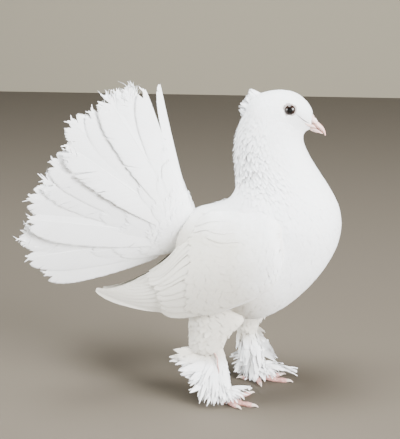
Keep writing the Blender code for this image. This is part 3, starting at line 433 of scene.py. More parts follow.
def fan_axes(turn, side):
    step = 0.02
    turn = np.asarray(turn, float)
    low = np.where(turn < step, 0.0, turn - step)
    across = (fan_direction(low + 2 * step, side) - fan_direction(low, side)) / (2 * step)
    along = fan_direction(turn, side)
    rate = np.linalg.norm(across, axis=-1)
    across = unit(across - along * (across * along).sum(-1, keepdims=True))
    return along, across, side * np.cross(across, along), rate


def fan_point(turn, side, reach, lift):
    along, _, normal, _ = fan_axes(turn, side)
    root = np.array((TAIL_ROOT[0], side * TAIL_HALF_GAP, TAIL_ROOT[1]))
    bow = TAIL_BOW * (reach / max(TAIL_LENGTHS)) ** 2
    return root + along * reach[..., None] + normal * (bow + lift)[..., None]


def tail_length(turn):
    rows = [(length,) for length in TAIL_LENGTHS]
    return float(rows_at(rows, np.array(turn * (len(rows) - 1)))[0])


# Meshes from many small pieces.

SHARP_ANGLE = 50.0


def join_mesh(name, points, faces, flat=None, paint=None):
    """A smooth mesh object from arrays in millimetres of the bird frame, its faces outward."""
    mesh = bpy.data.meshes.new(name)
    places = (np.asarray(points, float).reshape(-1, 3) + ORIGIN) * MM
    faces = np.asarray(faces, np.int32).reshape(-1, 3)
    mesh.vertices.add(len(places))
    mesh.vertices.foreach_set("co", places.astype(np.float32).ravel())
    mesh.loops.add(faces.size)
    mesh.loops.foreach_set("vertex_index", faces.ravel())
    mesh.polygons.add(len(faces))
    mesh.polygons.foreach_set("loop_start", np.arange(0, faces.size, 3, dtype=np.int32))
    mesh.update(calc_edges=True)
    if flat is not None:
        corners = np.asarray(flat, np.float32).reshape(-1, 2)[faces.ravel()]
        mesh.uv_layers.new(name="OFBake").uv.foreach_set("vector", corners.ravel())
    if paint is not None:
        layer = mesh.attributes.new("plume", "FLOAT_VECTOR", "POINT")
        layer.data.foreach_set("vector", np.asarray(paint, np.float32).ravel())
    shape = bmesh.new()
    shape.from_mesh(mesh)
    bmesh.ops.recalc_face_normals(shape, faces=shape.faces)
    shape.to_mesh(mesh)
    shape.free()
    mesh.shade_smooth()
    made = bpy.data.objects.new(name, mesh)
    bpy.context.scene.collection.objects.link(made)
    return made


def tube_faces(rows, sides):
    """Triangles of a closed tube of rings, outward for rings that turn anticlockwise."""
    faces = []
    for row in range(rows - 1):
        for side in range(sides):
            a, b = row * sides + side, row * sides + (side + 1) % sides
            faces += [(a, b, b + sides), (a, b + sides, a + sides)]
    last = (rows - 1) * sides
    for side in range(1, sides - 1):
        faces += [(0, side + 1, side), (last, last + side, last + side + 1)]
    return np.array(faces, np.int32)


def loft(name, rings):
    """A closed form through rings of points."""
    rings = np.asarray(rings)
    return join_mesh(name, rings, tube_faces(*rings.shape[:2]))


class Plumage:
    """Gathers feathers, then makes them one mesh."""

    def __init__(self):
        self.points, self.faces, self.flat, self.paint, self.count = [], [], [], [], 0

    def add(self, points, faces, flat, paint):
        """Points (..., n, 3) of one or many like pieces that share one set of faces."""
        points = points.reshape(-1, points.shape[-2], 3)
        each = points.shape[1]
        starts = self.count + np.arange(len(points)) * each
        self.faces.append((faces[None] + starts[:, None, None]).reshape(-1, 3))
        self.points.append(points.reshape(-1, 3))
        self.flat.append(flat.reshape(-1, 2))
        self.paint.append(paint.reshape(-1, 3))
        self.count += len(points) * each

    def make(self, name, material, nodes=()):
        lists = (self.points, self.faces, self.flat, self.paint)
        made = join_mesh(name, *(np.concatenate(parts) for parts in lists))
        made.data.set_sharp_from_angle(angle=math.radians(SHARP_ANGLE))
        return dress(made, material, nodes)


def dress(obj, material, nodes=()):
    """Gives a finished piece its material and slot, rides it on the body and swaps it in."""
    obj.data.materials.clear()
    obj.data.materials.append(material)
    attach(obj, "root")
    if nodes:
        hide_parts(*nodes)
    return obj


# Small body feathers.

# Stations of a small feather: share of length, half width, and a three-cornered section.
SMALL_STATIONS = np.array([(0.0, 0.35), (0.4, 0.9), (0.7, 1.0), (0.9, 0.62), (1.0, 0.08)])
SMALL_FACES = tube_faces(len(SMALL_STATIONS), 3)
# A feather's patch on the unwrap, and the room that the roots keep from its edges.
PATCH, FLAT_START, FLAT_SPAN, FLAT_ROOM = 0.003, 0.004, 0.992, 0.996
LEAST_RATE, CUP_DEPTH, SMALL_THICK = 0.3, 0.04, 0.1


def small_template():
    """Share along, place across and height of each point of one small feather."""
    points = []
    for share, half in SMALL_STATIONS:
        points += [(share, -half, 0.0), (share, half, 0.0), (share, 0.0, 1.0 - 0.6 * share)]
    return np.array(points)


SMALL_POINTS = small_template()


def lay_small(coat, face, u, v, length, half, lifts, sign, steps, box, lean):
    """Small feathers over a face. They root at u, v and run the way that u falls.

    steps is how far u and v move for a normal, box is the span of u and v on the unwrap.
    """
    step_u, step_v = steps
    per_u = np.linalg.norm(face(u + step_u, v) - face(u - step_u, v), axis=-1) / (2 * step_u)
    per_v = np.linalg.norm(face(u, v + step_v) - face(u, v - step_v), axis=-1) / (2 * step_v)
    share, across, high = SMALL_POINTS.T
    side_move = across * half[:, None] + lean[:, None] * share * length[:, None]
    here_u = u[:, None] - share * (length / np.maximum(per_u, LEAST_RATE))[:, None]
    here_v = v[:, None] + side_move / np.maximum(per_v, LEAST_RATE)[:, None]
    normal = square_to(face, here_u, here_v, step_u, step_v, sign)
    cup = -CUP_DEPTH * half[:, None] * across**2
    root_lift, tip_lift, stand, thick = lifts
    rise = root_lift[:, None] + (tip_lift - root_lift)[:, None] * (1 - (1 - share) ** 4.0)
    rise = rise + cup + high * thick + stand[:, None] * share**3
    points = face(here_u, here_v) + normal * rise[..., None]
    low_u, high_u, low_v, high_v = box
    flat = np.stack([(u - low_u) / (high_u - low_u), (v - low_v) / (high_v - low_v)], -1)
    patch = np.stack([share, across * 0.5], -1) * PATCH
    flat = FLAT_START + FLAT_SPAN * np.clip(flat, 0, 1)[:, None, :] * FLAT_ROOM + patch
    dice = np.random.default_rng(len(u)).random(len(u))
    paint = np.stack(np.broadcast_arrays(share[None], across[None], dice[:, None]), -1)
    coat.add(points, SMALL_FACES, flat, paint)


def scatter(face, box, places, gaps, dice, tries, keep=None):
    """Roots spread evenly over a face, no two nearer than the gap at their place."""
    low_u, high_u, low_v, high_v = box
    u = dice.uniform(low_u, high_u, tries)
    v = dice.uniform(low_v, high_v, tries)
    points = face(u, v)
    if keep is not None:
        held = keep(points)
        u, v, points = u[held], v[held], points[held]
    gaps = np.interp(u, places, gaps)
    cell = float(gaps.max())
    grid, chosen = {}, []
    for index, (point, gap) in enumerate(zip(points.tolist(), gaps.tolist())):
        home = tuple(int(value // cell) for value in point)
        around = product(*((step - 1, step, step + 1) for step in home))
        others = (other for key in around for other in grid.get(key, ()))
        if all(math.dist(point, other) >= gap for other in others):
            grid.setdefault(home, []).append(point)
            chosen.append(index)
    return u[chosen], v[chosen], points[chosen]


# Large feathers: a shaft and barbs.

# Stations of a barb from shaft to edge: place, half width in barb spacings, ridge height.
BARB_STATIONS = (
    (0, 0.85, 0.07),
    (0.35, 0.85, 0.06),
    (0.7, 0.8, 0.05),
    (0.9, 0.65, 0.04),
    (1, 0.3, 0.03),
)
BARB_FACES = tube_faces(len(BARB_STATIONS), 3)
SHAFT_ROWS = 9
SHAFT_FACES = tube_faces(SHAFT_ROWS, 3)
BARB_ANGLE, BARB_END, BARB_THICK = 40.0, 0.985, 0.05
# Chances that a clump of barbs ends and that a barb is broken, what is left of it, and least reach.
CLUMP_ENDS, BROKEN, BROKEN_REACH, LEAST_BARB = 0.2, 0.14, 0.72, 0.25


def barb_web(sign, length, start, half, count, dice, fray):
    """One web of a large feather: barbs as thin closed strips from the shaft to the outline.

    half gives the outline's half width at a share of the length.
    """
    roots = start + (length * BARB_END - start) * (np.arange(count) + 0.5) / count
    step = (length - start) / count
    share = roots / length
    group = np.cumsum(dice.random(count) < CLUMP_ENDS)
    shift = dice.normal(0, 1, group.max() + 1)[group]
    loose = fray * (0.05 + 0.95 * share**6)
    slope = np.radians(BARB_ANGLE) * (1 - 0.35 * share**4) + shift * loose * 0.10
    reach = half(share)
    for _ in range(14):
        reach = 0.5 * (reach + half((roots + reach / np.tan(slope)) / length))
    reach = reach * (1 + dice.normal(0, 1, count) * (0.01 + 0.05 * loose) - 0.04 * loose)
    reach = reach * np.where(dice.random(count) < BROKEN * loose, BROKEN_REACH, 1.0)
    reach = np.maximum(reach, LEAST_BARB)
    points = []
    for place, wide_share, thick in BARB_STATIONS:
        out = sign * reach * place
        along = roots + reach * place / np.tan(slope)
        width = step * wide_share
        lift = shift * loose * 0.7 * place**2
        points.append(np.stack([along - width, out, lift], -1))
        points.append(np.stack([along + width, out, lift + BARB_THICK], -1))
        points.append(np.stack([along, out, lift + BARB_THICK / 2 + thick], -1))
    return np.stack(points, 1)


def shaft_points(length, radius):
    points = []
    for share in np.arange(SHAFT_ROWS) / (SHAFT_ROWS - 1):
        size = radius * (1 - 0.88 * share)
        along = length * share
        points += [(along, -size, 0.0), (along, size, 0.0), (along, 0.0, size * 0.8 + 0.12)]
    return np.array(points)


def add_large(coat, surface, length, start, halves, count, dice, fray, spot, radius):
    """A large feather laid on a surface, with left and right webs and its shaft."""

    def lengthwise(local):
        return np.clip(local[..., 0] / length, 0, 1.1)

    for sign, half in zip((-1, 1), halves):
        local = barb_web(sign, length, start, half, count, dice, fray)
        share = lengthwise(local)
        chance = np.broadcast_to(dice.random(len(local))[:, None], share.shape)
        paint = np.stack([share, np.abs(local[..., 1]) / 20.0, chance], -1)
        flat = np.array(spot) + local[..., :2] * np.array([1.0, 0.5]) * PATCH / length
        coat.add(surface(*np.moveaxis(local, -1, 0)), BARB_FACES, flat, paint)
    local = shaft_points(length * 0.97, radius)
    paint = np.stack([lengthwise(local), np.zeros(len(local)), np.full(len(local), 0.9)], -1)
    flat = np.array(spot) + local[:, :2] * PATCH / length
    coat.add(surface(*local.T)[None], SHAFT_FACES, flat, paint)


def round_web(width, root=0.3, peak=0.62, blunt=2.4):
    """Half width along a feather: narrow at its root, widest at a peak, rounded at the tip."""

    def half(share):
        rise = root + (1 - root) * np.sin(np.clip(share / peak, 0, 1) * math.pi / 2) ** 1.2
        past = np.clip((share - peak) / (1 - peak), 0, 1)
        return width * np.where(share < peak, rise, (1 - past**blunt) ** (1 / blunt))

    return half


# Materials.


def arithmetic(operation, reflected=False):
    """A method of Value that adds one Math node."""

    def apply(self, other):
        values = (other, self) if reflected else (self, other)
        return self.kit.node("ShaderNodeMath", values, operation=operation)

    return apply


class Value:
    """A shader socket that takes plain arithmetic."""

    def __init__(self, kit, socket):
        self.kit, self.socket = kit, socket

    __add__, __radd__ = arithmetic("ADD"), arithmetic("ADD", True)
    __sub__, __rsub__ = arithmetic("SUBTRACT"), arithmetic("SUBTRACT", True)
    __mul__, __rmul__ = arithmetic("MULTIPLY"), arithmetic("MULTIPLY", True)


class Kit:
    """Builds one material's nodes."""

    def __init__(self, name):
        self.material = bpy.data.materials.new(name)
        self.material.use_nodes = True
        self.tree = self.material.node_tree
        self.shader = self.tree.nodes["Principled BSDF"]

    def plug(self, socket, value):
        if isinstance(value, Value):
            self.tree.links.new(value.socket, socket)
        elif value is not None:
            is_colour = socket.type == "RGBA" and len(value) == 3
            socket.default_value = (*value, 1.0) if is_colour else value

    def node(self, kind, values=(), out=0, **settings):
        """Adds a node with its settings and inputs, and returns one output, or all if out is None."""
        made = self.tree.nodes.new(kind)
        for key, value in settings.items():
            setattr(made, key, value)
        named = values.items() if isinstance(values, dict) else enumerate(values)
        for key, value in named:
            self.plug(made.inputs[key], value)
        if out is None:
            return [Value(self, socket) for socket in made.outputs]
        return Value(self, made.outputs[out])

    def place(self):
        return self.node("ShaderNodeTexCoord", out="Object")

    def noise(self, scale, detail):
        values = {"Vector": self.place(), "Scale": scale, "Detail": detail}
        return self.node("ShaderNodeTexNoise", values)

    def split(self, vector):
        return self.node("ShaderNodeSeparateXYZ", [vector], out=None)

    def ramp(self, value, low, high, start=0.0, end=1.0):
        values = {"Value": value, "From Min": low, "From Max": high, "To Min": start, "To Max": end}
        return self.node("ShaderNodeMapRange", values, clamp=True)

    def mix(self, factor, first, second):
        values = {"Factor": factor, MIX_FIRST: first, MIX_SECOND: second}
        return self.node("ShaderNodeMix", values, out=MIX_COLOUR, data_type="RGBA")

    def bump(self, height, strength, distance):
        values = {"Height": height, "Strength": strength, "Distance": distance}
        return self.node("ShaderNodeBump", values)

    def finish(self, **values):
        for key, value in values.items():
            self.plug(self.shader.inputs[key.replace("_", " ")], value)
        return self.material


# The colour sockets of a Mix node: two inputs and the output.
MIX_FIRST, MIX_SECOND, MIX_COLOUR = 6, 7, 2
WHITE = (0.94, 0.945, 0.95)
# Cream for the painted shade towards feather roots, on the flanks and low on the bird, and for the feathers'
# cream tone that varies at random.
CREAM_TONE_AND_SHADE = (0.62, 0.585, 0.51)


# Clouded surfaces: scale and detail, both colours, roughness, strength and depth of the bump.
CLOUDED = {
    "pale skin under the coat": (160, 3, (0.84, 0.83, 0.81), (0.74, 0.71, 0.66), 0.85, (0.4, 0.0006)),
    "powdery cere": (900, 4, (0.84, 0.74, 0.70), (0.78, 0.62, 0.57), 0.7, (0.5, 0.0003)),
    "pale grey eyelid": (1500, 3, (0.50, 0.45, 0.42), (0.36, 0.31, 0.29), 0.6, (0.6, 0.0002)),
    # Painted shade: the dark lines of the mouth's fold and closing line, and the nostril slits.
    "painted shade of mouth and nostrils": (900, 2, (0.16, 0.08, 0.07), (0.09, 0.05, 0.05), 0.6, None),
    "pale claw horn": (500, 3, (0.74, 0.66, 0.60), (0.52, 0.40, 0.34), 0.35, (0.15, 0.0002)),
}
# Painted shade in cream on the flanks and low on the bird, in metres. It starts behind a place on the
# breast, and comes in over a length and between heights. Near the floor it goes again.
FLANK_SHADE_START, FLANK_SHADE_FADE, FLANK_SHADE_HEIGHTS = 0.036, 0.045, (0.178, 0.150)
LOW_SHADE_HEIGHTS, FLOOR_HEIGHTS = (0.125, 0.080), (0.036, 0.05)
# Where along the bill its pink deepens, and how far from the eye's front the iris starts, in metres.
PINK_START, PINK_END, PUPIL_EDGE = 0.057, 0.068, (0.0023, 0.0026)


def clouded(name):
    """A surface clouded between two colours, with a bump that follows the clouds."""
    scale, detail, first, second, rough, bump = CLOUDED[name]
    kit = Kit(name)
    cloud = kit.noise(scale, detail)
    normal = kit.bump(cloud, *bump) if bump else None
    return kit.finish(Base_Color=kit.mix(cloud, first, second), Roughness=rough, Normal=normal)


def feather_white(name, cream=0.25, rough=0.72, shaded=0.0):
    """White feather with painted shade in cream towards each feather's root, and, as far as shaded asks, on
    the flanks and low on the bird; cream tone that varies at random, and a faint silky grain.
    """
    kit = Kit(name)
    along, _, chance = kit.split(kit.node("ShaderNodeAttribute", attribute_name="plume", out=1))
    forward, _, height = kit.split(kit.place())
    # Painted shade on the flanks behind the breast and low on the bird, fading out near the floor.
    breast = ORIGIN[0] * MM + FLANK_SHADE_START
    flank_shade = kit.ramp(forward, breast, breast - FLANK_SHADE_FADE) * kit.ramp(height, *FLANK_SHADE_HEIGHTS)
    low = kit.ramp(height, *LOW_SHADE_HEIGHTS) * 0.35 + flank_shade
    low = low * kit.ramp(height, *FLOOR_HEIGHTS)
    # Painted shade towards each feather's root, where the feathers over it shade it; cloud and chance add
    # cream tone that varies at random.
    root = kit.ramp(along, 0.55, 0.0)
    cloud = kit.noise(55.0, 3.0)
    root_shade_and_tone = root * 0.55 + (cloud - 0.45) * 0.5 + (chance - 0.5) * 0.25
    colour = kit.mix(root_shade_and_tone * (cream * 2.0) + low * shaded * 1.2, WHITE, CREAM_TONE_AND_SHADE)
    grain = kit.noise(1800.0, 2.0)
    return kit.finish(
        Base_Color=colour,
        Roughness=rough,
        Sheen_Weight=0.25,
        Sheen_Roughness=0.5,
        Subsurface_Weight=0.12,
        Subsurface_Radius=(0.004, 0.0035, 0.003),
        Specular_IOR_Level=0.25,
        Normal=kit.bump(grain, 0.15, 0.0002),
    )


def bill_pink():
    """Flesh-pink horn, paler at its root and deeper pink towards the tip."""
    kit = Kit("flesh-pink bill")
    x, _, _ = kit.split(kit.place())
    zero = ORIGIN[0] * MM
    forward = kit.ramp(x, zero + PINK_START, zero + PINK_END)
    cloud = kit.noise(420.0, 3.0)
    pink = kit.mix(forward, (0.76, 0.54, 0.49), (0.72, 0.42, 0.36))
    colour = kit.mix((cloud - 0.4) * 0.8, pink, (0.80, 0.62, 0.57))
    return kit.finish(
        Base_Color=colour,
        Roughness=kit.ramp(cloud, 0.3, 0.7, 0.34, 0.5),
        Subsurface_Weight=0.15,
        Subsurface_Radius=(0.003, 0.0012, 0.0008),
        Normal=kit.bump(cloud, 0.12, 0.0002),
    )


def eye_dark(side):
    """Dark brown iris round a black pupil, under a wet gloss."""
    kit = Kit(f"dark eye {SIDE_NAMES[side]}")
    x, y, z = EYE_PLACE
    front = (np.array((x, side * (y + EYE_RADIUS), z)) + ORIGIN) * MM
    away = kit.node("ShaderNodeVectorMath", [kit.place(), tuple(front)], 1, operation="DISTANCE")
    rays = kit.noise(900.0, 3.0)
    ring = kit.mix(rays, (0.022, 0.009, 0.005), (0.009, 0.005, 0.003))
    colour = kit.mix(kit.ramp(away, *PUPIL_EDGE), (0.002, 0.002, 0.002), ring)
    gloss = {"Specular_IOR_Level": 0.2, "Coat_Weight": 0.4, "Coat_Roughness": 0.04}
    return kit.finish(Base_Color=colour, Roughness=0.3, **gloss)


def toe_skin():
    """Pink scaled skin: broad plates over the top of each toe."""
    kit = Kit("pink toe skin")
    values = {"Vector": kit.place(), "Scale": 620.0}
    plates = kit.node("ShaderNodeTexVoronoi", values, feature="F1")
    cloud = kit.noise(260.0, 3.0)
    pink = kit.mix(cloud, (0.64, 0.35, 0.31), (0.72, 0.47, 0.42))
    colour = kit.mix(kit.ramp(plates, 0.25, 0.6), pink, (0.50, 0.25, 0.22))
    return kit.finish(
        Base_Color=colour,
        Roughness=0.5,
        Subsurface_Weight=0.12,
        Subsurface_Radius=(0.003, 0.001, 0.0006),
        Normal=kit.bump(plates, -0.5, 0.0004),
    )


# The skin and the horny parts.

# Sizes of the remeshed skins' voxels, in metres.
SKIN_VOXEL, CERE_VOXEL, FOOT_VOXEL = 0.0015, 0.00035, 0.0005


def face_loft(name, face, last, count, sides, grow=0.0, sign=1.0):
    """A closed loft over a face from place 0 to the last, inset or grown a little."""
    u, v = np.meshgrid(np.linspace(0, last, count), round_angles(sides), indexing="ij")
    points = face(u, v)
    if grow:
        points = points + square_to(face, u, v, 0.02, 0.02, sign) * grow
    return loft(name, points)


def merge_skin(name, parts, voxel):
    """Joins overlapping closed forms into one smooth skin."""
    for obj in bpy.context.selected_objects:
        obj.select_set(False)
    for part in parts:
        part.select_set(True)
    bpy.context.view_layer.objects.active = parts[0]
    bpy.ops.object.join()
    skin = bpy.context.view_layer.objects.active
    skin.name = name
    remesh = skin.modifiers.new("Remesh", "REMESH")
    remesh.mode, remesh.voxel_size = "VOXEL", voxel
    smooth = skin.modifiers.new("Smooth", "SMOOTH")
    smooth.iterations = 6
    for name in ("Remesh", "Smooth"):
        bpy.ops.object.modifier_apply(modifier=name)
    skin.data.shade_smooth()
    return skin


def wing_loft(name, side, first, last, count, sink):
    face = wing_face(side)
    shares = np.linspace(0.0, 1.0, 13)
    places = np.linspace(first, last, count)
    u, v = np.meshgrid(places, shares, indexing="ij")
    row = rows_at(WING_ROWS, u)
    _, _, out = wing_axes(row, side)
    bow = np.sin(math.pi * v) ** WING_ROUND
    outer = face(u, v) - out * (sink + 0.8 * bow)[..., None]
    inner = face(u, v) - out * (sink + row[..., 7] * bow + 1.0)[..., None]
    return loft(name, np.concatenate([outer, inner[:, ::-1]], 1))


def tail_core_loft(side):
    reach, above, below = np.array(TAIL_CORE).T
    rings = []
    for turn in np.linspace(0.0, 1.0, 15):
        turns = np.full(len(reach), turn)
        top, low = fan_point(turns, side, reach, above), fan_point(turns, side, reach, -below)
        rings.append(np.concatenate([top, low[::-1]]))
    return loft("tail_core", rings)


def make_skin(material):
    """One skin of body, wings, tail roots and legs, a coat's depth inside the outline."""
    parts = [face_loft("body", body_face, FACE_ROW, 90, 72, -SKIN_DEPTH)]
    for side in (RIGHT, LEFT):
        thigh = leg_face(THIGH_ROWS[side], side)
        shank = leg_face(SHANK_ROWS[side], side)
        parts.append(face_loft("thigh", thigh, 6, 25, 32, -SKIN_DEPTH, side))
        parts.append(face_loft("shank", shank, 4, 17, 24, -SHANK_SKIN_DEPTH, side))
        parts.append(wing_loft("arm", side, 0.0, ARM_END, 41, ARM_SINK))
        parts.append(wing_loft("hand", side, ARM_END - 0.3, HAND_END, 15, HAND_SINK))
        parts.append(tail_core_loft(side))
    skin = merge_skin("body_skin", parts, SKIN_VOXEL)
    return dress(skin, material, ["torso", "neck", "thigh_right", "thigh_left"])


def make_bill(pink, powder, dark):
    halves = (("upper", UPPER_BILL_ROWS, 0.5, 31), ("lower", LOWER_BILL_ROWS, 0.4, 26))
    for half, rows, widest, count in halves:
        horn = face_loft(f"horn_{half}", bill_face(rows, widest), len(rows) - 1, count, 28)
        dress(horn, pink, [f"bill_{half}"])
    lobes = [make_cere_lobe(side) for side in (RIGHT, LEFT)]
    cere = merge_skin("cere_powder", lobes, CERE_VOXEL)
    dress(cere, powder, ["cere"])
    for side in (RIGHT, LEFT):
        make_gape(side, pink, dark)
        name = SIDE_NAMES[side]
        # Each nostril slit is a dark tube of painted shade, not an opening.
        slit = tube(f"nostril_{name}", np.array(NOSTRIL) * (1, side, 1), NOSTRIL_RADII, 10)
        dress(slit, dark)


def make_cere_lobe(side):
    x, y, z = CERE_PLACE
    bpy.ops.mesh.primitive_uv_sphere_add(segments=28, ring_count=18, radius=1.0)
    lobe = bpy.context.object
    tilt = math.radians(CERE_TILT)
    for vertex in lobe.data.vertices:
        a, b, c = (value * size for value, size in zip(vertex.co, CERE_RADII))
        turned = (a * math.cos(tilt) + c * math.sin(tilt), b, c * math.cos(tilt) - a * math.sin(tilt))
        centre = (x, side * y, z)
        vertex.co = Vector([(t + o + g) * MM for t, o, g in zip(turned, centre, ORIGIN)])
    return lobe


def tube(name, centres, radii, sides=14, squash=1.0):
    """A closed round tube through centre points, with a radius at each."""
    centres, radii = np.asarray(centres, float), np.asarray(radii, float)
    along = unit(np.gradient(centres, axis=0))
    across = unit(np.cross(along, np.array((0.0, 0.0, 1.0))))
    up = np.cross(across, along)
    angles = round_angles(sides)[:, None]
    ring = across[:, None] * np.cos(angles) + up[:, None] * np.sin(angles) * squash
    return loft(name, centres[:, None] + ring * radii[:, None, None])


def cheek(x, z):
    """How far the side of the head stands from its middle at x and z."""
    place, angle = np.meshgrid(np.linspace(HEAD_ROW, FACE_ROW, 181), np.linspace(0.05, 3.05, 91))
    points = body_face(place, angle)
    away = np.hypot(points[..., 0] - x, points[..., 2] - z)
    return float(points[..., 1].ravel()[away.argmin()])


# The soft corner of the mouth: x, z and thickness.
GAPE = [
    (47.5, 250, 0.05),
    (50.5, 247.9, 0.30),
    (53, 246.2, 0.70),
    (55.5, 245, 0.85),
    (57.6, 244.1, 0.70),
    (59.6, 243.2, 0.10),
]
# The dark fold from below the eye to the gape, then the line where the bill closes, both painted shade of
# the crease and the gap: x, z, width.
FOLD = [
    (43.2, 256, 0.06),
    (46.2, 253.2, 0.2),
    (49.6, 250.4, 0.3),
    (52.1, 248.7, 0.26),
    (54, 247.6, 0.08),
]
CLOSING = [
    (53, 244.6, 0.08),
    (57.1, 243.2, 0.15),
    (61.3, 241.6, 0.15),
    (64.7, 239.4, 0.1),
    (66.6, 237.9, 0.05),
]
# How far the side of the bill stands from its middle, by x.
BILL_PLACES, BILL_SIDES = (53.0, 55.0, 57.0, 61.3, 64.7, 66.6), (6.9, 6.1, 5.0, 3.25, 1.95, 1.1)
GAPE_TURN, GAPE_PLACES, GAPE_SIDES = 56.0, (56.0, 59.6), (4.9, 3.5)


def make_gape(side, pink, dark):
    """Soft pink skin at the corner of the mouth, with dark lines of painted shade in the fold above it and
    along the line where the bill closes.
    """

    def line(name, rows, count, sides, squash, material, stand):
        x, z, width = rows_along(rows, count)
        centres = np.stack([x, side * stand(x, z), z], -1)
        made = tube(f"{name}_{SIDE_NAMES[side]}", centres, width, sides, squash)
        dress(made, material)

    def on_cheek(x, z):
        return np.array([cheek(a, b) for a, b in zip(x, z)])

    def past_cheek(x, z):
        return np.where(x < GAPE_TURN, on_cheek(x, z), np.interp(x, GAPE_PLACES, GAPE_SIDES)) - 0.2

    def over_cheek(x, z):
        return on_cheek(x, z) + 0.25

    def on_bill(x, z):
        return np.interp(x, BILL_PLACES, BILL_SIDES)

    line("gape", GAPE, 25, 14, 1.5, pink, past_cheek)
    # The fold and the closing line are dark tubes of painted shade.
    line("mouth_fold_shade", FOLD, 21, 10, 1.0, dark, over_cheek)
    line("mouth_line_shade", CLOSING, 21, 10, 1.0, dark, on_bill)


def make_eyes(lid_material):
    for side in (RIGHT, LEFT):
        x, y, z = EYE_PLACE
        centre = (np.array((x, side * y, z)) + ORIGIN) * MM
        name = SIDE_NAMES[side]
        bpy.ops.mesh.primitive_uv_sphere_add(
            segments=64, ring_count=40, radius=EYE_RADIUS * MM, location=tuple(centre)
        )
        eye = bpy.context.object
        eye.name = f"eyeball_{name}"
        bpy.ops.object.transform_apply(location=True, rotation=True, scale=True)
        eye.data.shade_smooth()
        dress(eye, eye_dark(side), [f"eye_{name}"])
        dress(make_lids(side), lid_material)


def make_lids(side):
    """A soft rim round the eye, thicker above, that stands out over the cheek in front and below."""
    x, y, z = EYE_PLACE
    face = np.array((0.0, side, 0.0))
    rings = []
    for turn in round_angles(48):
        a, b = LID_WIDE * math.cos(turn), LID_TALL * math.sin(turn)
        depth = math.sqrt(max(EYE_RADIUS**2 - a * a - b * b, 0.0)) + 0.05
        depth += LID_RAISE * max(0.0, math.cos(turn + LID_RAISE_TURN))
        middle = np.array((x + a, side * (y + depth), z + b))
        out = np.array((math.cos(turn), 0.0, math.sin(turn)))
        size = LID_THICK + 0.1 * math.sin(turn)
        angles = round_angles(10)[:, None]
        rings.append(middle + (out * np.cos(angles) + face * np.sin(angles) * 0.8) * size)
    points = np.array(rings)
    here = np.arange(points[..., 0].size).reshape(points.shape[:2])
    beside, below = np.roll(here, -1, 1), np.roll(here, -1, 0)
    across = np.roll(below, -1, 1)
    faces = np.stack([here, beside, across, here, across, below], -1)
    return join_mesh(f"eyelids_{SIDE_NAMES[side]}", points, faces)


def toe_centres(side, end_x, end_y, radius):
    ankle_x, ankle_y = ANKLE[side]
    root = np.array((ankle_x, side * ankle_y, TOE_ROOT_HEIGHT))
    end = np.array((end_x, side * end_y, TOE_END_HEIGHT))
    rows = [(*root, TOE_ROOT_RADIUS)]
    for share, height, swell in KNUCKLES:
        point = root + (end - root) * share
        rows.append((point[0], point[1], height, radius * swell))
    rows.append((*end, radius * 0.85))
    return rows


def make_feet(skin, horn):
    """Toes with round pads and plates, worn level with the floor, and their claws."""
    for side in (RIGHT, LEFT):
        name = SIDE_NAMES[side]
        parts = []
        for toe, end_x, end_y, radius in TOES[side]:
            rows = toe_centres(side, end_x, end_y, radius)
            *fine, thick = rows_along(rows, 41)
            ripple = 1 + 0.035 * np.sin(np.linspace(0, 16 * math.pi, 41))
            parts.append(tube("toe", np.transpose(fine), thick * ripple, 18))
            make_claw(side, toe, rows, horn)
        parts.append(ankle_tube(side))
        foot = merge_skin(f"toes_{name}", parts, FOOT_VOXEL)
        rest_on_floor(foot)
        dress(foot, skin, [f"foot_{name}"])


def ankle_tube(side):
    x, y = ANKLE[side]
    rings = []
    for z, radius in zip(ANKLE_HEIGHTS, ANKLE_RADII):
        turns = [(math.cos(angle), math.sin(angle)) for angle in round_angles(18)]
        rings.append([(x + radius * a, side * y + radius * b, z) for a, b in turns])
    return loft("ankle", rings)


def rest_on_floor(obj):
    for vertex in obj.data.vertices:
        vertex.co.z = max(vertex.co.z, 0.0)


# Where the feathers of the right shank part and its pink skin shows: x, y, z, width.
PARTING = [
    (-24, 34.8, 51, 0.2),
    (-20, 36.6, 44, 0.55),
    (-18.4, 38, 33.5, 0.5),
    (-17.6, 38.8, 26.5, 0.15),
]


def make_parting(skin):
    x, y, z, width = rows_along(PARTING, 25)
    wander = 0.3 * np.sin(z * 0.6)
    strip = tube("parting_right", np.stack([x + wander, RIGHT * y, z], -1), width, 12)
    dress(strip, skin)


def make_claw(side, toe, rows, horn):
    """A tapering hook beyond the end of its toe, clear of the floor."""
    before, end = np.array(rows[-2][:3]), np.array(rows[-1][:3])
    radius = rows[-1][3]
    along = unit((end - before) * (1.0, 1.0, 0.0))
    places = np.linspace(0, 1, 13)
    centres = end + along * (CLAW_LENGTH * places - 0.9)[:, None]
    centres[:, 2] += 0.55 * np.sin(places * 2.6) - 1.25 * places**3
    radii = radius * np.interp(places, (0, 0.3, 0.7, 1), (0.92, 0.85, 0.5, 0.1))
    claw = tube(f"horn_claw_{SIDE_NAMES[side]}_{toe}", centres, radii, 14)
    dress(claw, horn, [f"claw_{SIDE_NAMES[side]}_{toe}"])


# The coat.

# How far off a wing is looked for over the body, and how high it stands where it hides feathers.
WING_NEAR, WING_OVER = 30.0, 5.0
THIGH_INSET, THIGH_TOP = 1.0, 96.0


def node_tree(node):
    """A search tree over a solid node, in millimetres of the bird frame."""
    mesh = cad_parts[node].data
    points = [tuple(np.array(vertex.co) / MM - ORIGIN) for vertex in mesh.vertices]
    return BVHTree.FromPolygons(points, [tuple(face.vertices) for face in mesh.polygons])


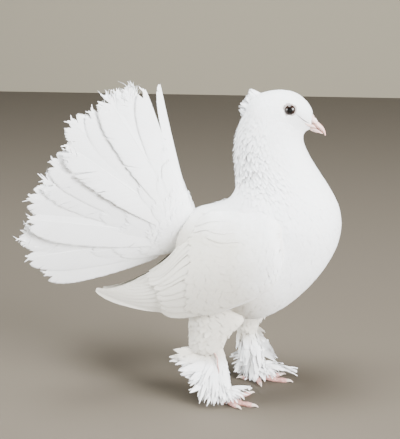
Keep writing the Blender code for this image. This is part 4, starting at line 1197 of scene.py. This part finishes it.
def under_wing(points, normals, trees):
    """True where a wing lies well over the body."""
    covered = np.zeros(len(points), bool)
    for index, (point, normal) in enumerate(zip(points, normals)):
        for tree in trees:
            above, _, _, _ = tree.ray_cast(Vector(point + normal * 0.5), Vector(normal), WING_NEAR)
            if above is not None:
                start = Vector(point + normal * (WING_NEAR - 1.0))
                outer, _, _, _ = tree.ray_cast(start, Vector(-normal), WING_NEAR)
                thin = outer is not None and (outer - Vector(point)).length < WING_OVER
                covered[index] = not thin
    return covered


def inside_thigh(points):
    """True where a point of the body lies well inside the top of a thigh."""
    inside = np.zeros(len(points), bool)
    for side in (RIGHT, LEFT):
        table = np.array(THIGH_ROWS[side])[::-1]
        x, y, wide, deep = (np.interp(points[:, 2], table[:, 2], table[:, k]) for k in (0, 1, 3, 4))
        ahead = (points[:, 0] - x) / (wide - THIGH_INSET)
        aside = (side * points[:, 1] - y) / (deep - THIGH_INSET)
        level = (points[:, 2] > table[0, 2]) & (points[:, 2] < THIGH_TOP)
        inside |= (ahead**2 + aside**2 < 1.0) & level
    return inside


def short_of_eye(u, v, points, length):
    """Feathers that would run over an eye end at its lid."""
    way = unit(body_face(u - 0.3, v) - points)
    eye = np.tile(EYE_PLACE, (len(u), 1))
    eye[:, 1] *= np.sign(points[:, 1])
    to_eye = eye - points
    ahead = (to_eye * way).sum(-1)
    aside = np.linalg.norm(to_eye - way * ahead[:, None], axis=-1)
    room = ahead - np.sqrt(np.maximum(LID_REACH**2 - aside**2, 0.0))
    meets = (ahead > 0) & (aside < LID_REACH)
    return np.where(meets, np.clip(room, SHORTEST, length), length)


def clear_of_eye(points):
    return np.linalg.norm(np.abs(points) - EYE_PLACE, axis=-1) > EYE_CLEAR


def make_body_coat(white):
    """Small feathers of the torso, neck and head, that all run from bill to tail."""
    dice = np.random.default_rng(SEED)
    box = (0.0, FACE_ROW, -math.pi, math.pi)
    trees = [node_tree(f"wing_{name}") for name in ("right", "left")]
    u, v, points = scatter(body_face, box, BODY_PLACES, BODY_GAPS, dice, BODY_TRIES, clear_of_eye)
    normals = square_to(body_face, u, v, 0.02, 0.02, 1.0)
    shown = ~under_wing(points, normals, trees) & ~inside_thigh(points)
    u, v, points = u[shown], v[shown], points[shown]
    length = np.interp(u, BODY_PLACES, BODY_LENGTHS) * dice.uniform(0.85, 1.15, len(u))
    length = short_of_eye(u, v, points, length)
    half = np.interp(u, BODY_PLACES, BODY_HALVES) * dice.uniform(0.85, 1.15, len(u))
    neck = np.exp(-(((u - HACKLE_ROW) / HACKLE_FADE) ** 2))
    neck = neck * np.clip((np.cos(v) + 0.4) / 0.9, 0.06, 1.0)
    neck = neck * (1 + 0.5 * np.exp(-((v / NAPE_ANGLE) ** 2)))
    hackle = np.clip(neck, 0.0, 1.0)
    half = half * (1 - HACKLE_STRETCH * hackle)
    length = length * (1 + HACKLE_STRETCH * hackle)
    root_lift = np.full(len(u), -COAT_DEPTH) * np.interp(u, DEPTH_PLACES, DEPTH_SHARES)
    tip_lift = dice.normal(0.05, 0.04, len(u))
    stand = HACKLE_STAND * neck * dice.uniform(0.0, 1.6, len(u)) + 0.05
    lean = dice.normal(0, 0.08, len(u)) * (1 + hackle)
    region = np.digitize(u, REGION_ENDS)
    for index, name in enumerate(("back", "breast", "neck", "head")):
        part = region == index
        coat = Plumage()
        lifts = (root_lift[part], tip_lift[part], stand[part], SMALL_THICK)
        sizes = (u[part], v[part], length[part], half[part])
        lay_small(coat, body_face, *sizes, lifts, 1.0, (0.05, 0.02), box, lean[part])
        coat.make(f"{name}_feathers", white, ["head"] if name == "head" else [])


def make_crest(white):
    """The peak at the back of the crown and the small tufts of the nape below it."""
    dice = np.random.default_rng(SEED + 3)
    coat = Plumage()
    for _ in range(CREST_FEATHERS):
        down = dice.uniform(0.0, 1.0)
        root_x, root_z, tip_x, tip_z, spread = rows_at(CREST, down * (len(CREST) - 1))
        y = dice.uniform(-1, 1) * spread
        back = dice.uniform(-0.15, 1.0)
        root = np.array((root_x + CREST_DEPTH * back, y * 1.3, root_z - 2.0 - back)) + dice.normal(0, 0.5, 3)
        tip = np.array((tip_x + 1.5 * abs(y / spread), y * 0.8, tip_z)) + dice.normal(0, 0.4, 3)
        out = np.array((0.0, 1.0 if y > 0 else -1.0, 0.35 + 0.5 * dice.random()))
        bend, curl, sway = dice.uniform(0.3, 1.0), dice.normal(0.0, 0.4), dice.normal(0, 0.3)
        surface, length = plume_surface(root, tip, out, bend, curl, sway)
        webs = (round_web(dice.uniform(*CREST_HALF), 0.7, 0.4, 1.5),) * 2
        spot = (0.1 + 0.8 * down, 0.5 + 0.02 * y)
        add_large(coat, surface, length, 0.5, webs, CREST_BARBS, dice, CREST_FRAY, spot, 0.1)
    coat.make("crest", white)


def feather_turn(spread, side):
    """Where in the fan a feather lies: the left half's first one stands apart from the rest."""
    if side == LEFT and spread == 0:
        return 0.0
    return spread + TAIL_START[side] * max(0.0, 1.0 - spread / FREE_TURN)


def tail_surface(turn, side, lift_from, lift_to, length, tilt=TAIL_TILT):
    rate = float(fan_axes(turn, side)[3])

    def surface(along, across, lift):
        reach = np.maximum(along, 8.0)
        here = turn + across / (reach * rate)
        base = lift_from + (lift_to - lift_from) * np.clip(along / length, 0, 1)
        return fan_point(here, side, reach, base + lift + tilt * across - TAIL_CUP * across**2)

    return surface


def make_tail(white):
    """The fan: thirteen broad feathers a side, then coverts above and below."""
    for side in (RIGHT, LEFT):
        dice = np.random.default_rng(SEED + 5 + side)
        name = SIDE_NAMES[side]
        coat = Plumage()
        for index in range(TAIL_FEATHERS):
            turn = feather_turn(index / (TAIL_FEATHERS - 1), side)
            length = tail_length(turn) * dice.uniform(0.96, 1.03)
            lift, extra = TAIL_FOLDS.get(index, (0.0, 0.0))
            lift += dice.normal(0, 0.25)
            wide = TAIL_HALF_WIDTH * dice.uniform(0.92, 1.04)
            inner, outer = FIRST_WEBS[side].get(index, (wide, wide))
            halves = [round_web(half, 0.3, 0.7, dice.uniform(2.2, 3.0)) for half in (inner, outer)]
            surface = tail_surface(turn, side, lift, lift * 1.6, length, TAIL_TILT + extra)
            spot = (0.01 + 0.97 * turn, 0.05)
            fray = WORN_FRAY if index in WORN else SOUND_FRAY
            web = (TAIL_BARE_ROOT, halves, TAIL_BARBS, dice, fray)
            add_large(coat, surface, length, *web, spot, TAIL_SHAFT)
            if index in WORN:
                tuft_tip(coat, surface, length, halves, dice, spot)
        coat.make(f"tail_feathers_{name}", white, [f"tail_upper_{name}", f"tail_lower_{name}"])
        coat = Plumage()
        for count, start, length, half, root_lift, tip_lift, barbs in TAIL_COVERTS:
            for index in range(count):
                turn = feather_turn((index + dice.uniform(0.3, 0.7)) / count, side)
                reach = length * dice.uniform(0.8, 1.06)
                webs = (round_web(half, 0.5, 0.6, 2.2),) * 2
                surface = tail_surface(turn, side, root_lift, tip_lift, reach, 0.05)
                spot = (0.01 + 0.97 * turn, 0.2 + 0.6 * start / 40)
                add_large(coat, surface, reach * 0.93, start, webs, barbs, dice, 0.25, spot, 0.25)
        coat.make(f"tail_coverts_{name}", white)
        cover_tail_root(side, white)


def cover_tail_root(side, white):
    """Short feathers between the rump and the coverts of the fan."""
    dice = np.random.default_rng(SEED + 60 + side)
    box = (0.0, 1.0, 0.0, 1.0)

    def face(u, v):
        return fan_point(v, side, RUMP_REACH - RUMP_RUN * u, RUMP_LIFT + RUMP_RISE * u)

    u, v, _ = scatter(face, box, (0, 1), (RUMP_GAP, RUMP_GAP), dice, RUMP_TRIES)
    count = len(u)
    length, half = dice.uniform(*RUMP_LENGTHS, count), dice.uniform(*RUMP_HALVES, count)
    stand = dice.uniform(0.1, 0.7, count)
    lifts = (np.full(count, -0.5), dice.normal(0.75, 0.12, count), stand, 0.14)
    coat = Plumage()
    lean = dice.normal(0, 0.08, count)
    lay_small(coat, face, u, v, length, half, lifts, side, (0.02, 0.01), box, lean)
    coat.make(f"rump_coverts_{SIDE_NAMES[side]}", white)


def tuft_tip(coat, surface, length, halves, dice, spot):
    """Loose curled barbs that straggle past the tip of a worn tail feather."""
    for _ in range(int(dice.integers(14, 22))):
        at = dice.uniform(0.9, 0.99)
        across = dice.uniform(-0.8, 0.8) * float(halves[0](np.array(at)))
        long, curl, turn = dice.uniform(4, 9), dice.normal(0, 4.0), dice.normal(0, 1.1)
        local = shaft_points(long, 0.6)
        share = local[:, 0] / long
        along = at * length + local[:, 0] * math.cos(turn)
        side_way = across + local[:, 0] * math.sin(turn) + local[:, 1]
        points = surface(along, side_way, local[:, 2] + curl * share**2)
        flat = np.array(spot) + local[:, :2] * PATCH / 3 / long
        paint = np.stack([np.ones(len(local)), share, np.full(len(local), 0.7)], -1)
        coat.add(points[None], SHAFT_FACES, flat, paint)


def wing_surface(side, root, tip, share, length, lifts):
    face = wing_face(side)

    def surface(along, across, lift):
        run = along / length
        place = root + (tip - root) * run
        row = rows_at(WING_ROWS, place)
        top, low, out = wing_axes(row, side)
        chord = np.linalg.norm(low - top, axis=-1)
        here = share + across / chord
        base = lifts[0] + (lifts[1] - lifts[0]) * np.clip(run, 0, 1) + lift + WING_TILT * across
        inside = np.clip(here, 0.04, 0.96)
        normal = square_to(face, place, inside, 0.02, 0.02, -side)
        normal = unit(normal + 0.6 * out)
        over = np.minimum(here, 0.0) * chord
        points = face(place, np.maximum(here, 0.0)) + normal * base[..., None]
        return points + over[..., None] * np.array((0.0, side, -0.1))

    return surface


def make_wings(white):
    """Folded wings: primaries, then secondaries, and three tiers of coverts over them."""
    for side in (RIGHT, LEFT):
        dice = np.random.default_rng(SEED + 20 + side)
        name = SIDE_NAMES[side]
        face = wing_face(side)
        coat = Plumage()
        for tier in WING_TIERS:
            count, high, low, root, tip_high, tip_low, half, lift_a, lift_b, barbs, drop, fray = tier
            for index in range(count):
                step = index / (count - 1)
                share, tip = high + (low - high) * step, tip_high + (tip_low - tip_high) * step
                stray, late = dice.uniform(-0.4, 0.4), dice.uniform(-0.22, 0.22)
                if drop == 0:
                    share, tip = share + stray * (low - high) / count, tip + late
                ends = face(np.array([root, tip]), np.array([share, share]))
                length = float(np.linalg.norm(ends[1] - ends[0]))
                lifts = (lift_a - drop * index, lift_b - drop * index)
                surface = wing_surface(side, root, tip, share, length, lifts)
                webs = (round_web(half, 0.6, 0.7),) * 2
                spot = (0.02 + 0.9 * root / 9, 0.02 + 0.95 * share)
                add_large(coat, surface, length * 0.9, 0.0, webs, barbs, dice, fray, spot, 0.45)
        coat.make(f"wing_feathers_{name}", white, [f"wing_{name}", f"wing_tip_{name}"])
        cover_arm(side, white)


def cover_arm(side, white):
    """Small coverts over the shoulder and the fore part of the wing."""
    dice = np.random.default_rng(SEED + 30 + side)
    face = flip(wing_face(side), ARM_REACH)
    box = (0.0, ARM_REACH, 0.02, 0.92)
    u, v, _ = scatter(face, box, ARM_PLACES, ARM_GAPS, dice, ARM_TRIES)
    count = len(u)
    length = np.interp(u, ARM_PLACES, ARM_LENGTHS) * dice.uniform(0.85, 1.15, count)
    half = np.interp(u, ARM_PLACES, ARM_HALVES) * dice.uniform(0.85, 1.15, count)
    tip_lift = dice.normal(0.9, 0.04, count)
    lifts = (np.full(count, -0.7), tip_lift, np.full(count, 0.05), SMALL_THICK)
    coat = Plumage()
    lean = dice.normal(0, 0.06, count)
    lay_small(coat, face, u, v, length, half, lifts, side, (0.02, 0.01), box, lean)
    coat.make(f"small_wing_coverts_{SIDE_NAMES[side]}", white)


def plume_surface(root, tip, out, bend, curl, side_bend):
    """The surface of a loose plume that arches from its root to its tip, and its length."""
    run = tip - root
    across = unit(np.cross(run, out))
    normal = unit(np.cross(across, run))
    length = float(np.linalg.norm(run))

    def surface(along, offset, lift):
        share = along / length
        arch = bend * 4 * share * (1 - share) + curl * share**3
        sway = side_bend * share**2
        return (
            root
            + run * share[..., None]
            + across * (offset + sway)[..., None]
            + normal * (lift + arch - 0.02 * offset**2)[..., None]
        )

    return surface, length


def make_leg_plumes(white):
    """Long feathers of the shanks and toes, and the loose feathers of the thighs."""
    for side in (RIGHT, LEFT):
        dice = np.random.default_rng(SEED + 40 + side)
        name = SIDE_NAMES[side]
        coat = Plumage()
        for count, high, low, half, tips in LEG_PLUMES[side]:
            for index in range(count):
                share = index / (count - 1)
                # Plumes rooted on the toes keep their order, those of the shank are strewn.
                down = dice.random() if low < 3 else share
                x, y, z = rows_at(SHANK_ROWS[side], high + (low - high) * down)[:3]
                root = np.array((x, side * (y + 1.5), z)) + dice.normal(0, PLUME_STRAY, 3)
                x, y, z = rows_at(tips, share * (len(tips) - 1))
                tip = np.array((x, side * y, max(z, PLUME_CLEAR)))
                tip = root + (tip - root) * dice.uniform(0.84, 1.03)
                tip = tip + dice.normal(0, PLUME_STRAY, 3)
                tip[2] = max(tip[2], 0.8 * PLUME_CLEAR)
                behind = tip[2] > PLUME_HIGH or tip[0] < root[0] + PLUME_AHEAD
                lean = dice.uniform(-0.8, 0.8)
                out = np.array((0.2, side, 0.35)) if behind else np.array((0.0, lean, 0.8))
                bends = (dice.uniform(1.5, 4.0), dice.normal(0, 1.2), dice.normal(0, 1.5))
                surface, length = plume_surface(root, tip, out, *bends)
                webs = (round_web(half * dice.uniform(0.8, 1.25), 0.4, 0.5, 1.5),) * 2
                spot = (0.02 + 0.9 * share, 0.1 + 0.2 * high)
                web = (webs, PLUME_BARBS, dice, PLUME_FRAY)
                add_large(coat, surface, length * 0.94, 1.0, *web, spot, 0.2)
        add_ruff(coat, side, dice)
        coat.make(f"leg_plumes_{name}", white, [f"shank_{name}"])
        cover_leg(side, white)


def add_ruff(coat, side, dice):
    """Short loose plumes that hang all round the shank, fuller behind and outside."""
    face = leg_face(SHANK_ROWS[side], side)
    for _ in range(RUFF_FEATHERS):
        place, angle = dice.uniform(0.3, 3.9), dice.uniform(-math.pi, math.pi)
        root, across = face(np.full(2, place), np.array([angle, angle + math.pi]))
        away = unit(root - across)
        front = max(math.cos(angle), 0.0)
        swing = dice.uniform(*RUFF_SWING) * (1 - 0.7 * front * (side == RIGHT))
        root = root - away * 1.2
        tip = root + away * swing - (0, 0, dice.uniform(*RUFF_DROP))
        tip[2] = max(tip[2], PLUME_CLEAR)
        surface, length = plume_surface(root, tip, away, 1.0, dice.normal(0, 0.8), dice.normal(0, 1))
        webs = (round_web(dice.uniform(*RUFF_HALF), 0.5, 0.5, 1.6),) * 2
        spot = (0.05 + 0.2 * place, 0.5 + angle / 8)
        add_large(coat, surface, length, 0.5, webs, RUFF_BARBS, dice, RUFF_FRAY, spot, 0.15)


def cover_leg(side, white):
    """Loose small feathers over thigh and shank."""
    dice = np.random.default_rng(SEED + 50 + side)
    coat = Plumage()
    for rows, top, gap, long in LEG_COVERS:
        face = flip(leg_face(rows[side], side), top)
        box = (0.0, top - 0.2, -math.pi, math.pi)
        u, v, _ = scatter(face, box, (0, top), (gap, gap), dice, LEG_TRIES)
        count = len(u)
        length = long * dice.uniform(0.8, 1.2, count)
        half = long * 0.3 * dice.uniform(0.8, 1.2, count)
        stand = np.abs(dice.normal(0.15, 0.6, count))
        tip_lift = dice.normal(0.15, 0.06, count)
        lifts = (np.full(count, -LEG_ROOT_DEPTH), tip_lift, stand, SMALL_THICK)
        lean = dice.normal(0, 0.15, count)
        lay_small(coat, face, u, v, length, half, lifts, -side, (0.05, 0.03), box, lean)
    coat.make(f"leg_feathers_{SIDE_NAMES[side]}", white)


# Light, floor and camera.

STAGE_SIZE = 8.0
# Planes of the stage: name, place, tilt, colour and roughness.
PLANES = [
    ("floor", (0, 0, 0), 0, (0.092, 0.075, 0.054), 0.85),
    ("backdrop", (0, 2.2, 3.6), 90, (0.25, 0.222, 0.165), 0.9),
]
# Soft lamps: name, place, aim, size, power and colour.
LAMPS = [
    ("sky", (-0.20, -0.30, 1.90), (0, 0, 0.15), 1, 105, (0.94, 0.98, 1)),
    ("front", (1.7, -1.1, 0.75), (0, 0, 0.15), 1, 195, (0.98, 0.99, 1)),
    ("side", (-1.9, -0.8, 0.35), (-0.1, 0, 0.2), 1, 110, (0.96, 0.99, 1)),
    ("low", (0.1, -1.2, 0.06), (-0.02, 0, 0.08), 0.6, 2.5, (1, 0.86, 0.68)),
]
DAYLIGHT, DAYLIGHT_POWER = (0.86, 0.93, 1.0, 1.0), 0.12


def make_stage():
    for name, place, tilt, colour, rough in PLANES:
        turn = (math.radians(tilt), 0, 0)
        bpy.ops.mesh.primitive_plane_add(size=STAGE_SIZE, location=place, rotation=turn)
        plane = bpy.context.object
        plane.name = name
        plane.data.materials.append(Kit(f"pale {name}").finish(Base_Color=colour, Roughness=rough))


def make_lights():
    for name, place, aim, size, power, colour in LAMPS:
        data = bpy.data.lights.new(name, "AREA")
        data.size, data.energy, data.color = size, power, colour
        light = bpy.data.objects.new(name, data)
        bpy.context.scene.collection.objects.link(light)
        light.location = place
        way = Vector(aim) - Vector(place)
        light.rotation_euler = way.to_track_quat("-Z", "Y").to_euler()
    world = bpy.data.worlds.new("soft daylight")
    bpy.context.scene.world = world
    world.use_nodes = True
    back = world.node_tree.nodes["Background"]
    back.inputs[0].default_value, back.inputs[1].default_value = DAYLIGHT, DAYLIGHT_POWER


CAMERA_TURN, CAMERA_TILT, CAMERA_AWAY = 8.0, 13.5, 950.0
CAMERA_AIM = (-40.0, 0.0, 159.0)
MM_PER_PIXEL, LONG_SIDE, SENSOR_WIDTH = 0.88, 439, 36.0


def make_camera():
    data = bpy.data.cameras.new("camera")
    camera = bpy.data.objects.new("camera", data)
    bpy.context.scene.collection.objects.link(camera)
    bpy.context.scene.camera = camera
    turn, tilt = math.radians(CAMERA_TURN), math.radians(CAMERA_TILT)
    back = Vector(
        (math.sin(turn) * math.cos(tilt), -math.cos(turn) * math.cos(tilt), math.sin(tilt))
    )
    aim = Vector((np.array(CAMERA_AIM) + ORIGIN) * MM)
    camera.location = aim + back * CAMERA_AWAY * MM
    camera.rotation_mode = "QUATERNION"
    camera.rotation_quaternion = (-back).to_track_quat("-Z", "Y")
    data.sensor_width = SENSOR_WIDTH
    data.lens = SENSOR_WIDTH * CAMERA_AWAY / (MM_PER_PIXEL * LONG_SIDE)
    data.clip_start, data.clip_end = 0.01, 50.0


def main():
    # Every feather material paints shade in cream towards each feather's root; the body and leg ones also
    # paint shade on the flanks and low on the bird.
    white = feather_white("white feather with painted root shade")
    body = feather_white("body feather with painted shade", shaded=0.85)
    soft = feather_white("soft feather with painted shade and cream tone", 0.3, 0.8, 0.85)
    make_skin(clouded("pale skin under the coat"))
    make_bill(bill_pink(), clouded("powdery cere"), clouded("painted shade of mouth and nostrils"))
    make_eyes(clouded("pale grey eyelid"))
    toes = toe_skin()
    make_feet(toes, clouded("pale claw horn"))
    make_parting(toes)
    make_body_coat(body)
    make_crest(white)
    make_tail(white)
    make_wings(body)
    make_leg_plumes(soft)
    make_stage()
    make_lights()
    make_camera()


main()
